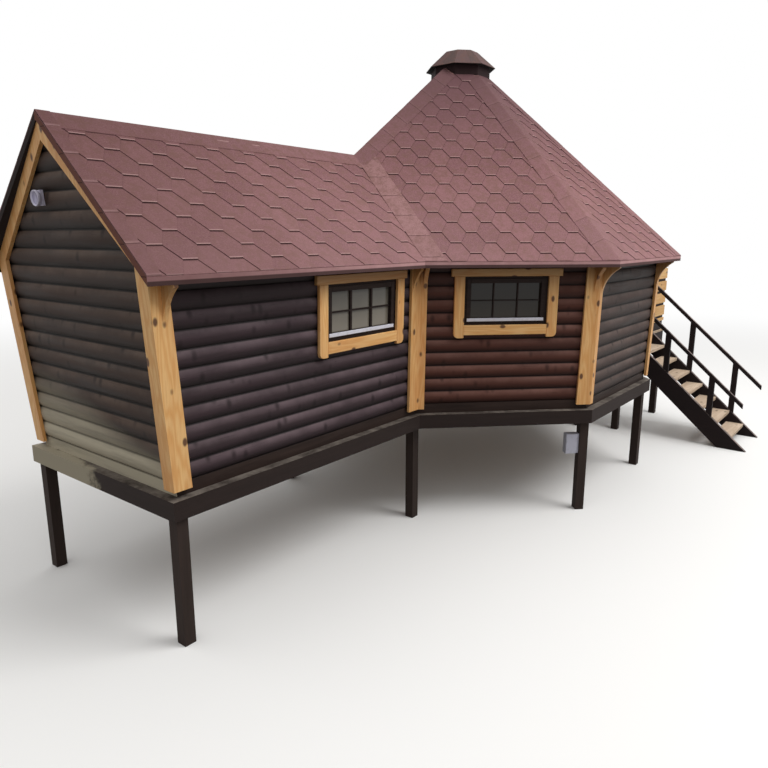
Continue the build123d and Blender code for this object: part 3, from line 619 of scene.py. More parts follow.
@dataclass(frozen=True)
class LogStain:
    """Half-round spruce logs in a dark glaze; the eye sees level streaks, a black joint and a painted paler
    top.
    """

    name: str
    pale: str
    body: str
    deep: str
    knot: str
    joint: str = "#0d0807"
    sill: str = "#352823"
    course: float = 0.135
    seed: float = 0.0
    splash: float = 0.0
    painted_eave_shade: float = 0.5

    def material(self) -> Material:
        """Each course has its own tone: a random number of floor(height / course).

        Returns:
            The material.
        """
        made, tree, shader = new_material(self.name)
        place = add(tree, "TexCoord", output="Object")
        _, north, above = add(tree, "SeparateXYZ", inputs=[place]).node.outputs
        height = add(tree, "Math", SUBTRACT, [above, AXIS_Z])
        courses = add(tree, "Math", DIVIDE, [height, self.course])
        number = add(tree, "Math", {"operation": "FLOOR"}, [courses])
        course_tone = add(tree, "TexWhiteNoise", {"noise_dimensions": "1D"}, {
            "W": add(tree, "Math", MULTIPLY_ADD, [number, 0.731, self.seed])})
        streaks = add(tree, "TexNoise", inputs={
            "Vector": stretched(tree, Grain.LEVEL, 1.3, 16.0), "Scale": 1.0, "Detail": 5.0,
            "Roughness": 0.62, "Distortion": 0.3})
        fibres = add(tree, "TexNoise", inputs={
            "Vector": stretched(tree, Grain.LEVEL, 4.0, 120.0), "Scale": 1.0, "Detail": 5.0,
            "Roughness": 0.7})
        blotches = add(tree, "TexNoise", inputs={
            "Vector": place, "Scale": 2.2, "Detail": 4.0, "Roughness": 0.6})
        streaked = add(tree, "MapRange", inputs=[streaks, 0.3, 0.7])
        up_log = add(tree, "Math", FRACTION, [courses])
        top = add(tree, "MapRange", SMOOTH, [up_log, 0.35, 0.88])
        blotched = add(tree, "MapRange", inputs=[blotches, 0.33, 0.68, 0.18, 0.95])
        from_joint = add(tree, "Math", TO_AND_FRO, [up_log, 0.5])
        joint = add(tree, "MapRange", SMOOTH, [from_joint, 0.03, 0.1, 0.95, 0.0])
        sill = add(tree, "Mix", COLOURS, {
            FACTOR: streaked, COLOUR_A: linear(self.sill), COLOUR_B: linear("#241a17")}, MIXED)
        layers = [
            (streaked, self.body),
            # painted highlight: the upper part of each log is paler, as sky light on its rounded top
            (add(tree, "Math", MULTIPLY, [top, blotched]), self.pale),
            (add(tree, "MapRange", inputs=[course_tone, 0.0, 1.0, 0.0, 0.35]), self.deep),
            (knots_in(tree, stretched(tree, Grain.LEVEL, 9.0, 5.0), 0.7, (0.05, 0.33, 0.62, 0.0)),
             self.knot),
            (add(tree, "MapRange", inputs=[fibres, 0.6, 0.72, 0.0, 0.55]), self.knot),
            # painted shade: the lower part of each log darkens toward the joint below
            (add(tree, "MapRange", SMOOTH, [up_log, 0.05, 0.42, 0.78, 0.0]), self.knot),
            (joint, self.joint),
            # painted shade: the top courses darken under the eaves
            (add(tree, "MapRange", SMOOTH, [height, 1.05, 1.38, 0.0, self.painted_eave_shade]), "#1b1312"),
            (add(tree, "Math", BELOW, [height, -0.002]), sill)]
        if self.splash:
            reach = add(tree, "MapRange", SMOOTH, [north, AXIS_Y - 0.95, AXIS_Y + 0.75, 0.20, 0.60])
            share = add(tree, "Math", DIVIDE, [height, reach])
            near_ground = add(tree, "MapRange", SMOOTH, [share, 0.1, 1.15, self.splash, 0.0])
            worn = add(tree, "MapRange", inputs=[streaks, 0.25, 0.65, 0.6, 1.15])
            layers += [(add(tree, "Math", CLAMPED, [near_ground, worn]), "#bdb49f"),
                       (add(tree, "Math", MULTIPLY, [joint, 0.6]), "#1c1814")]
        connect(shader, {
            "Base Color": layered(tree, self.deep, layers), "Specular IOR Level": 0.15,
            "Roughness": add(tree, "MapRange", inputs=[streaks, 0.3, 0.7, 0.5, 0.7]),
            "Normal": add(tree, "Bump", inputs={"Height": fibres, "Distance": 0.0015, "Strength": 0.7})})
        return made


class Outline(Enum):
    """How the next piece covers a felt piece, for the painted shadow line along its edge."""

    HEXAGON = "hexagon"
    SQUARE = "square"
    NONE = "none"


@dataclass(frozen=True)
class MineralFelt:
    """Bitumen felt with a slate face; the eye sees matt red-brown grit, mottled from piece to piece."""

    name: str
    pale: str
    body: str
    deep: str
    outline: Outline
    pitch: float = 0.349
    exposure: float = 0.1425
    # width of the painted shadow line where the next piece covers this one
    line: float = 0.010
    # strength of the painted highlight along each piece's lower edge
    lip: float = 0.6
    apex: str = "#563a3f"
    bleach: float = 0.85
    painted_shadow_depth: float = 0.85
    gable_shade: float = 0.0

    def covered_distance(self, tree: Tree) -> tuple[Socket, Socket]:
        """Distance in metres from the edge of the pieces that lie over this one.

        On a hexagon with U across and V up in units of pitch and exposure, that is the lesser of
        (2 - V) * exposure and (0.55 - 0.2 * V - |U|) * pitch, times 1.4 right of the middle, where the next
        tab throws its shadow, and 4.5 left of it. On a square piece it is |1 - V| * exposure.

        Args:
            tree: of the material.

        Returns:
            The distance, and V.
        """
        place = add(tree, "UVMap", {"uv_map": "Grain"})
        across, up, _ = add(tree, "SeparateXYZ", inputs=[place]).node.outputs
        limit = 2.0 if self.outline is Outline.HEXAGON else 1.0
        to_top = add(tree, "Math", MULTIPLY_ADD, [up, -self.exposure, limit * self.exposure])
        if self.outline is Outline.SQUARE:
            return add(tree, "Math", ABSOLUTE, [to_top]), up
        half = add(tree, "Math", MULTIPLY_ADD, [up, -0.2, 0.55])
        room = add(tree, "Math", SUBTRACT, [half, add(tree, "Math", ABSOLUTE, [across])])
        softened = add(tree, "MapRange", inputs=[across, -0.02, 0.02, self.pitch * 4.5, self.pitch * 1.4])
        to_slant = add(tree, "Math", MULTIPLY, [room, softened])
        return add(tree, "Math", {"operation": "MINIMUM"}, [to_top, to_slant]), up

    def material(self) -> Material:
        """Grit and mottling are noises, pieces differ in tone, and the roof darkens toward its apex.

        Returns:
            The material.
        """
        made, tree, shader = new_material(self.name)
        place = add(tree, "TexCoord", output="Object")
        east, _, height = add(tree, "SeparateXYZ", inputs=[place]).node.outputs
        grit = add(tree, "TexNoise", inputs={
            "Vector": place, "Scale": GRIT, "Detail": 3.0, "Roughness": 0.8})
        mottle = add(tree, "TexNoise", inputs={
            "Vector": place, "Scale": 13.0, "Detail": 5.0, "Roughness": 0.85})
        weather = add(tree, "TexNoise", inputs={"Vector": place, "Scale": 1.1, "Detail": 3.0})
        tone = add(tree, "Attribute", {"attribute_name": "tone"}, output="Fac")
        low_roof = add(tree, "MapRange", inputs=[height, EAVE_Z, EAVE_Z + 1.0, 0.55, 0.0])
        layers = [
            (add(tree, "MapRange", inputs=[tone, 0.0, 1.0, 0.0, 0.85]), self.deep),
            (add(tree, "MapRange", inputs=[grit, 0.38, 0.62, 0.0, 0.85]), self.pale),
            (add(tree, "MapRange", inputs=[mottle, 0.45, 0.60, 0.0, 0.72]), "#77564c"),
            (add(tree, "Math", CLAMPED, [low_roof, weather]), "#a27d7f"),
            (add(tree, "MapRange", SMOOTH, [height, EAVE_Z + 0.4, APEX_Z, 0.0, self.bleach]), self.apex)]
        if self.gable_shade:
            layers.append((add(tree, "MapRange", SMOOTH, [
                east, GABLE_X, GABLE_X + 2.4, self.gable_shade, 0.0]), "#50312f"))
        if self.outline is not Outline.NONE:
            distance, up = self.covered_distance(tree)
            # painted shadow: a dark line where the next piece covers this one
            line = add(tree, "MapRange", SMOOTH, [
                distance, self.line * 0.5, self.line * 1.4, self.painted_shadow_depth, 0.0])
            normal = add(tree, "NewGeometry", output="True Normal")
            facing = add(tree, "Math", ABOVE, [add(tree, "SeparateXYZ", inputs=[normal], output=2), 0.35])
            # painted highlight: a pale band along each piece's lower edge, then the painted shadow line
            layers += [(add(tree, "MapRange", SMOOTH, [up, 0.02, 0.11, self.lip, 0.0]), "#bb9895"),
                       (add(tree, "Math", MULTIPLY, [line, facing]), "#42282a")]
        connect(shader, {
            "Base Color": layered(tree, self.body, layers), "Roughness": 0.9, "Specular IOR Level": 0.25,
            "Normal": add(tree, "Bump", inputs={"Height": grit, "Distance": 0.0012, "Strength": 0.5})})
        return made


@dataclass(frozen=True)
class RoofBoard:
    """Boards under felt; the eye sees a felt lip at the eave, seams at the verge and dark boards below."""

    name: str
    felt: str
    edge: str
    board: str
    verge: str = "#6b4744"
    seams: float = 0.0

    def material(self) -> Material:
        """Faces are told apart by their normals; seams repeat up the slope on faces that look along X.

        Returns:
            The material.
        """
        made, tree, shader = new_material(self.name)
        place = add(tree, "TexCoord", output="Object")
        east, north, height = add(tree, "SeparateXYZ", inputs=[place]).node.outputs
        normal = add(tree, "NewGeometry", output="True Normal")
        facing_x, _, facing_z = add(tree, "SeparateXYZ", inputs=[normal]).node.outputs
        grit = add(tree, "TexNoise", inputs={
            "Vector": place, "Scale": GRIT, "Detail": 3.0, "Roughness": 0.8})
        mottle = add(tree, "TexNoise", inputs={
            "Vector": place, "Scale": 7.0, "Detail": 5.0, "Roughness": 0.65})
        streaks = add(tree, "TexNoise", inputs={
            "Vector": stretched(tree, Grain.LEVEL, 1.5, 30.0), "Scale": 1.0, "Detail": 4.0})
        felt = add(tree, "Mix", COLOURS, {
            FACTOR: grit, COLOUR_A: linear(self.felt), COLOUR_B: linear("#7a5c50")}, MIXED)
        layers = [(mottle, self.felt)]
        if self.seams:
            rise = self.seams * math.sin(math.atan(WING_FALL))
            step = add(tree, "Math", FRACTION, [
                add(tree, "Math", MULTIPLY_ADD, [height, 1 / rise, -EAVE_Z / rise])])
            seam = add(tree, "MapRange", SMOOTH, [step, 0.015, 0.05, 0.8, 0.0])
            at_verge = add(tree, "Math", BELOW, [facing_x, -0.9])
            behind = add(tree, "Math", ABOVE, [north, AXIS_Y + 0.01])
            verge = add(tree, "Mix", COLOURS, {
                FACTOR: behind, COLOUR_A: linear(self.verge), COLOUR_B: linear("#221917")}, MIXED)
            layers += [
                # painted shade: the board edges darken toward the gable, as the wing's felt does
                (add(tree, "MapRange", SMOOTH, [east, GABLE_X, GABLE_X + 2.8, 0.62, 0.0]), "#5d3c3a"),
                # painted shade: the fascia below the felt lip is dark, standing for the shade under the eave
                (add(tree, "MapRange", SMOOTH, [height, EAVE_Z - 0.030, EAVE_Z - 0.022, 0.88, 0.0]),
                 "#352321"),
                (at_verge, verge),
                (add(tree, "Math", MULTIPLY, [seam, at_verge]), "#2b1a19")]
        layers += [(add(tree, "Math", ABOVE, [facing_z, 0.2]), felt),
                   (add(tree, "Math", BELOW, [facing_z, -0.2]), self.board)]
        connect(shader, {
            "Base Color": layered(tree, self.edge, layers), "Roughness": 0.9, "Specular IOR Level": 0.25,
            "Normal": add(tree, "Bump", inputs={"Height": streaks, "Distance": 0.001})})
        return made


@dataclass(frozen=True)
class DustyTimber:
    """Rough sawn beams under a dark stain; the eye sees grey dust and dried mud on what faces up."""

    name: str
    body: str
    deep: str
    dust: str
    grain: Grain
    dust_share: float = 0.7
    low_stain: float = 0.0

    def material(self) -> Material:
        """Dust lies where the normal points up, broken by a noise.

        Returns:
            The material.
        """
        made, tree, shader = new_material(self.name)
        place = add(tree, "TexCoord", output="Object")
        streaks = add(tree, "TexNoise", inputs={
            "Vector": stretched(tree, self.grain, 1.5, 22.0), "Scale": 1.0, "Detail": 6.0,
            "Roughness": 0.65})
        patches = add(tree, "TexNoise", inputs={
            "Vector": place, "Scale": 6.0, "Detail": 6.0, "Roughness": 0.7})
        normal = add(tree, "NewGeometry", output="True Normal")
        facing = add(tree, "SeparateXYZ", inputs=[normal], output=2)
        up = add(tree, "MapRange", inputs=[facing, 0.3, 0.9, 0.0, self.dust_share])
        broken = add(tree, "MapRange", inputs=[patches, 0.35, 0.62, 0.12, 1.0])
        layers = [(streaks, self.body), (add(tree, "Math", MULTIPLY, [up, broken]), self.dust)]
        if self.low_stain:
            east, north, _ = add(tree, "SeparateXYZ", inputs=[place]).node.outputs
            end = add(tree, "MapRange", SMOOTH, [east, GABLE_X + 0.1, GABLE_X + 0.45, self.low_stain, 0.0])
            rear = add(tree, "MapRange", SMOOTH, [north, AXIS_Y - 0.9, AXIS_Y + 0.7])
            both = add(tree, "Math", MULTIPLY, [end, rear])
            ragged = add(tree, "Math", MULTIPLY_ADD, [patches, 0.5, both])
            layers.append((add(tree, "MapRange", SMOOTH, [ragged, 0.68, 0.84, 0.0, 0.92]), "#aca38f"))
        connect(shader, {
            "Base Color": layered(tree, self.deep, layers), "Roughness": 0.7, "Specular IOR Level": 0.16,
            "Normal": add(tree, "Bump", inputs={"Height": streaks, "Distance": 0.003, "Strength": 0.6})})
        return made


@dataclass(frozen=True)
class MouldedPlastic:
    """Satin moulded plastic or powder-coated metal with a little dirt."""

    name: str
    body: str
    dirt: str
    roughness: float = 0.4

    def material(self) -> Material:
        """Dirt is a soft noise, strongest in its peaks.

        Returns:
            The material.
        """
        made, tree, shader = new_material(self.name)
        patches = add(tree, "TexNoise", inputs={
            "Vector": add(tree, "TexCoord", output="Object"), "Scale": 14.0, "Detail": 5.0,
            "Roughness": 0.7})
        share = add(tree, "MapRange", inputs=[patches, 0.5, 0.75, 0.0, 0.45])
        connect(shader, {"Base Color": layered(tree, self.body, [(share, self.dirt)]),
                         "Roughness": self.roughness})
        return made


@dataclass(frozen=True)
class DimGlass:
    """Float glass with the dark room behind painted in: a grey-green gloom, paler low down, and a soft
    shine.
    """

    name: str
    low: str
    high: str
    deep_low: str
    deep_high: str

    def material(self) -> Material:
        """The gloom pales from the window's head to its sill, and is deeper in the body's larger room.

        Returns:
            The material.
        """
        made, tree, shader = new_material(self.name)
        place = add(tree, "TexCoord", output="Object")
        east, _, height = add(tree, "SeparateXYZ", inputs=[place]).node.outputs
        haze = add(tree, "TexNoise", inputs={"Vector": place, "Scale": 2.5})
        lifted = add(tree, "Math", MULTIPLY_ADD, [haze, 0.35, height])
        share = add(tree, "MapRange", SMOOTH, [lifted, AXIS_Z + 0.98, AXIS_Z + 1.42])
        wing, body = (add(tree, "Mix", COLOURS, {
            FACTOR: share, COLOUR_A: linear(low), COLOUR_B: linear(high)}, MIXED)
            for low, high in ((self.low, self.high), (self.deep_low, self.deep_high)))
        in_body = add(tree, "Math", ABOVE, [east, AXIS_X - 2.3])
        # painted shade: the colour stands for the dark room behind the glass
        gloom = add(tree, "Mix", COLOURS, {FACTOR: in_body, COLOUR_A: wing, COLOUR_B: body}, MIXED)
        connect(shader, {"Base Color": gloom, "Roughness": 0.06, "IOR": 1.52, "Specular IOR Level": 0.3})
        return made


PINE_COLOURS = {"pale": "#f4c585", "body": "#e6a862", "deep": "#c1763b", "knot": "#53301a"}


class Finishes:
    """Every finish of the hut, each made once."""

    def __init__(self) -> None:
        """Makes the materials."""
        self.pine_upright = SawnWood("honey_glazed_pine_upright", grain=Grain.UPRIGHT,
                                     **PINE_COLOURS).material()
        # The board and post finishes are the upright pine with painted shade under the eaves
        self.pine_board = SawnWood("honey_glazed_pine_board_painted_eave_shade", grain=Grain.BOARD, painted_eave_shade=0.55,
                                   **PINE_COLOURS).material()
        self.pine_posts = SawnWood("honey_glazed_pine_posts_painted_eave_shade", grain=Grain.UPRIGHT, painted_eave_shade=0.55,
                                   **PINE_COLOURS).material()
        self.logs = {
            "gable": LogStain("glazed_spruce_logs_gable", "#6b5a50", "#463832", "#2a1f1b", "#120c0a",
                              course=0.1346, seed=3.1, splash=1.0, painted_eave_shade=0.0).material(),
            "grey": LogStain("glazed_spruce_logs_grey", "#6c5c60", "#43353a", "#281e20", "#130b0c",
                             seed=7.7).material(),
            "red": LogStain("glazed_spruce_logs_red", "#815c52", "#58352c", "#3d221c", "#21110d",
                            "#170a07", seed=1.3).material(),
            "brown": LogStain("glazed_spruce_logs_brown", "#6b5b55", "#483a36", "#2d2320", "#150e0c",
                              seed=5.2).material(),
        }
        self.shingles = MineralFelt("slate_faced_felt_shingles", "#98706f", "#83585c", "#5f3740",
                                    Outline.HEXAGON).material()
        self.long_shingles = MineralFelt("slate_faced_felt_shingles_wing", "#98706f", "#81575a", "#5f3740",
                                         Outline.HEXAGON, pitch=0.385, exposure=0.140,
                                         gable_shade=0.42).material()
        self.caps = MineralFelt("slate_faced_felt_caps", "#967070", "#83585b", "#6c464b", Outline.SQUARE,
                                exposure=0.25, line=0.005, lip=0.05, apex="#583d40", painted_shadow_depth=0.35).material()
        self.valley = MineralFelt("slate_faced_felt_valley", "#a8827f", "#946b6b", "#835c5c", Outline.SQUARE,
                                  exposure=0.285, line=0.005, lip=0.12, painted_shadow_depth=0.4).material()
        self.ridge = MineralFelt("slate_faced_felt_ridge", "#967070", "#80575a", "#6c464b", Outline.NONE,
                                 apex="#583d40", gable_shade=0.42).material()
        self.verge = MineralFelt("slate_faced_felt_verge", "#967070", "#80575a", "#6c464b", Outline.SQUARE,
                                 exposure=0.29, line=0.005, lip=0.25, painted_shadow_depth=0.5, gable_shade=0.5).material()
        self.felt = MineralFelt("slate_faced_felt_strip", "#98706f", "#80565b", "#683f47",
                                Outline.NONE).material()
        self.cap_top = MineralFelt("slate_faced_felt_vent_cap", "#6d5a58", "#674b4b", "#4b4139",
                                   Outline.NONE, apex="#4f4040", bleach=0.45).material()
        self.roof_board = RoofBoard("felt_on_roof_boards", "#a27577", "#d3a8a7", "#1d1412", "#70493f",
                                    seams=0.29).material()
        self.hat_board = RoofBoard("felt_on_vent_boards", "#4b3a38", "#2a1e20", "#0f0a09").material()
        # The collar's dark stain is darkened further as painted shade under the vent's cap
        self.collar = DustyTimber("dark_stained_collar_painted_shade", "#2c1819", "#190d0e", "#2c1819",
                                  Grain.LEVEL).material()
        self.beams = DustyTimber("stained_spruce_beams", "#332825", "#1d1614", "#857c73", Grain.LEVEL,
                                 dust_share=0.75, low_stain=0.9).material()
        self.piers = DustyTimber("stained_spruce_piers", "#40342f", "#261e1b", "#8b857b",
                                 Grain.UPRIGHT).material()
        self.stair = DustyTimber("black_stained_spruce", "#2a2020", "#161010", "#9a8a84", Grain.ALONG_Y,
                                 dust_share=1.2).material()
        self.treads = SawnWood("weathered_spruce_treads", "#d3bda6", "#c2aa90", "#9d8770", "#6a5848",
                               Grain.ALONG_X, roughness=0.75).material()
        self.deck = SawnWood("weathered_spruce_deck", "#c5af97", "#b39b80", "#8f7962", "#5f5042",
                             Grain.BOARD, roughness=0.75).material()
        self.screen = SawnWood("honey_glazed_screen_boards", "#e9c084", "#dca862", "#b87f45", "#6b4020",
                               Grain.ALONG_X, roughness=0.6).material()
        self.floor = SawnWood("planed_spruce_floor", "#c9a67a", "#b58f62", "#94704a", "#5d452f",
                              Grain.ALONG_X).material()
        self.door = SawnWood("glazed_pine_door", "#b07a48", "#9a6538", "#784a28", "#3d2413",
                             Grain.BOARD).material()
        self.sash = SawnWood("dark_glazed_window_wood", "#2e2320", "#241b19", "#17110f", "#100b0a",
                             Grain.LEVEL, roughness=0.62, knots=0.1, shine=0.12).material()
        self.iron = MouldedPlastic("black_powder_coated_steel", "#1d1b1b", "#3a332e", 0.45).material()
        self.glass = DimGlass("float_glass_over_dark_room", "#857d70", "#605c54", "#342c21",
                              "#241e16").material()
        self.drip = MouldedPlastic("white_lacquered_drip_rail", "#dcdbe6", "#a5a19c", 0.35).material()
        self.lamp = MouldedPlastic("white_lamp_housing", "#d6d2e6", "#8f8a90", 0.4).material()
        self.lens = MouldedPlastic("opal_lamp_lens", "#a9a3c4", "#8f8a90", 0.2).material()
        self.box = MouldedPlastic("grey_service_box", "#b9b9c6", "#7d7a78", 0.45).material()


def dress(material: Material, *nodes: str) -> None:
    """Gives CAD nodes their finish.

    Args:
        material: put in every slot that a node has.
        nodes: their names.
    """
    for node in nodes:
        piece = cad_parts[node]
        if not piece.data.materials:
            piece.data.materials.append(material)
        for index in range(len(piece.data.materials)):
            piece.data.materials[index] = material
        log.info("%s: %s", node, material.name)


@dataclass
class ShingleField:
    """The hexagonal tabs of one roof slope, with the starter strip along its eave."""

    name: str
    surface: Surface
    low_u: float
    high_u: float
    top_v: float
    cuts: list[Cut]
    pitch: float = 0.349
    exposure: float = 0.1425
    first_u: float = -0.019
    first_v: float = 0.113
    lift: float = 0.0085
    uneven: float = 0.0012
    layer: float = 0.0038
    flat_share: float = 0.15
    wide_share: float = 0.35
    length_share: float = 2.1
    thin_to: float = 2.2
    strip_faces: tuple[float, float] = (-0.002, 0.0005)
    strip_share: float = 0.5
    strip_tone: float = 0.4

    def outlines(self) -> tuple[np.ndarray, np.ndarray]:
        """Row k of the tabs starts at first_v + k * exposure, from k = -2, and odd rows move half a pitch.

        Returns:
            Outlines (tabs, 6, 2) on the slope, and the one outline in units of pitch and exposure.
        """
        rows = np.arange(-2, int(self.top_v / self.exposure) + 1)
        columns = np.arange(int((self.low_u - self.first_u) / self.pitch) - 2,
                            int((self.high_u - self.first_u) / self.pitch) + 3)
        row, column = np.meshgrid(rows, columns, indexing="ij")
        centre_u = self.first_u + self.pitch * (column + 0.5 * (row % 2))
        centre_v = self.first_v + self.exposure * row
        f, w, long = self.flat_share, self.wide_share, self.length_share
        shape = np.array([(-f, 0), (f, 0), (w, 1), (w, long), (-w, long), (-w, 1)])
        centres = np.stack([centre_u.ravel(), centre_v.ravel()], axis=1)
        inside = (centres[:, 0] > self.low_u - self.pitch) & (centres[:, 0] < self.high_u + self.pitch)
        return centres[inside, None, :] + shape * [self.pitch, self.exposure], shape

    def build(self, finish: Material, strip: Material) -> None:
        """Builds the tabs as thin plates, each a wedge that lies on the row below it.

        The outer face of a tab is at w = lift * (1 - V / thin_to), with V its height above its own lower
        edge in units of exposure, and its inner face one layer lower.

        Args:
            finish: of the tabs.
            strip: of the starter strip.
        """
        outlines, shape = self.outlines()
        random = np.random.default_rng(int(abs(self.low_u * 1000)) + len(outlines))
        high = self.lift * (1 - shape[:, 1] / self.thin_to) \
            + random.uniform(0, self.uneven, (len(outlines), 1))
        tabs = Plates(self.surface, outlines, high - self.layer, high, uv=shape[None],
                      tone=random.uniform(0, 1, len(outlines)))
        plate_piece(f"shingles_{self.name}", [tabs], finish, self.cuts)
        top = self.strip_share * self.exposure
        outline = np.array([[(self.low_u, 0), (self.high_u, 0), (self.high_u, top), (self.low_u, top)]])
        starter = Plates(self.surface, outline, *self.strip_faces, uv=NO_MAP,
                         tone=np.array([self.strip_tone]))
        plate_piece(f"starter_strip_{self.name}", [starter], strip, self.cuts)


@dataclass
class EdgePieces:
    """A row of smooth felt pieces up one slope, along its valley or its verge."""

    name: str
    surface: Surface
    side: int
    shape: np.ndarray
    exposure: float
    lift: float
    fall: float
    seed: int
    layer: float = 0.006

    def build(self, rows: np.ndarray, start_u: float, slant: float, finish: Material, slot: str,
              cuts: list[Cut]) -> None:
        """Builds the pieces as wedges, each lying on the next one down.

        A corner (a, b) of the piece that starts at v goes to u = start_u + slant * (v + b) + side * a, and
        its outer face lies at lift - fall * b / exposure.

        Args:
            rows: v of each piece's lower edge.
            start_u: u of the row's line at v = 0.
            slant: how far that line moves along u for each metre of v.
            finish: of the pieces.
            slot: not used.
            cuts: planes that end the row.
        """
        v = rows[:, None] + self.shape[:, 1]
        u = start_u + slant * v + self.side * self.shape[:, 0]
        outlines = np.stack([u, v], axis=-1)[:, ::self.side]
        shape = self.shape[::self.side]
        high = self.lift - self.fall * shape[:, 1] / self.exposure
        random = np.random.default_rng(self.seed + self.side)
        pieces = Plates(self.surface, outlines, high - self.layer, high,
                        uv=(shape / [shape[:, 0].max(), self.exposure])[None],
                        tone=random.uniform(0, 1, len(rows)))
        plate_piece(self.name, [pieces], finish, cuts)


@dataclass
class FoldedCaps:
    """Felt pieces folded over a hip or a ridge, each lying on the next one down."""

    name: str
    start: np.ndarray
    azimuth: float
    fall: float
    side_fall: float
    near: float
    far: float
    half: float
    cuts: list[Cut] = field(default_factory=list)
    exposure: float = 0.25
    lift: float = 0.0148
    base: float = 0.0120
    layer: float = 0.005
    overlap: float = 1.22
    least_share: float = 0.2
    uneven: float = 0.002
    uneven_width: float = 0.02

    # Places across the half width, and how much lower the bent felt lies there
    profile = np.array([-1.0, -0.55, -0.12, 0.0, 0.12, 0.55, 1.0])
    bend = np.array([0.0, 0.0, 0.001, 0.0035, 0.001, 0.0, 0.0])
    # Corners of each block of faces: end (0 low, 1 high), place across the profile, layer (0 inner, 1 outer)
    blocks = (((0, "left", 1), (0, "right", 1), (1, "right", 1), (1, "left", 1)),
              ((0, "left", 0), (1, "left", 0), (1, "right", 0), (0, "right", 0)),
              ((0, "left", 0), (0, "right", 0), (0, "right", 1), (0, "left", 1)),
              ((1, "left", 0), (1, "left", 1), (1, "right", 1), (1, "right", 0)),
              ((0, "first", 0), (0, "first", 1), (1, "first", 1), (1, "first", 0)),
              ((0, "last", 0), (1, "last", 0), (1, "last", 1), (0, "last", 1)))

    def build(self, finish: Material) -> None:
        """Builds the pieces as a profile carried down the crest.

        A point r along the crest in plan and s across it lies at start + r * direction + s * side, and falls
        by fall * r + side_fall * |s|, and a little more at the crest, where the felt bends round it.

        Args:
            finish: of the pieces.
        """
        direction, side = flat(self.azimuth), flat(self.azimuth + 90)
        count = int((self.far - self.near) / self.exposure) + 2
        outer = self.far - self.exposure * np.arange(count)
        across = self.half * self.profile
        ends = np.array([0.0, self.overlap * self.exposure])
        random = np.random.default_rng(int(self.half * 1e4) + count + int(abs(self.start[0]) * 100))
        lift = np.array([self.lift, self.base]) + random.uniform(0, self.uneven, (count, 1))
        r = np.maximum(outer[:, None] - ends, self.near)[:, :, None, None]
        s = across[:, None] * (1 + random.uniform(-self.uneven_width, self.uneven_width, (count, 1, 1, 1)))
        z = self.start[2] - self.fall * r - self.side_fall * np.abs(s) - self.bend[:, None] \
            + lift[:, :, None, None] + np.array([-self.layer, 0.0])
        r, s = (np.broadcast_to(value, z.shape)[..., None] for value in (r, s))
        plan = self.start[:2] + r * direction[:2] + s * side[:2]
        kept = (outer - ends[1] * self.least_share) > self.near
        points = np.concatenate([plan, z[..., None]], axis=-1)[kept]
        shape = points.shape[:-1]
        number = np.arange(points[..., 0].size).reshape(shape)
        places = {"left": np.arange(len(across) - 1), "right": np.arange(1, len(across)),
                  "first": 0, "last": -1}
        faces = [np.stack([number[:, end, places[place], layer] for end, place, layer in block],
                          axis=-1).reshape(-1, 4) for block in self.blocks]
        uv = np.stack([np.broadcast_to(across[:, None] / self.half, shape),
                       np.broadcast_to(ends[:, None, None] / self.exposure, shape)], axis=-1)
        tone = np.broadcast_to(random.uniform(0, 1, (len(points), 1, 1, 1)), shape)
        caps = build_piece(f"caps_{self.name}", points, faces, finish, uv, tone)
        cut_away(caps, self.cuts)


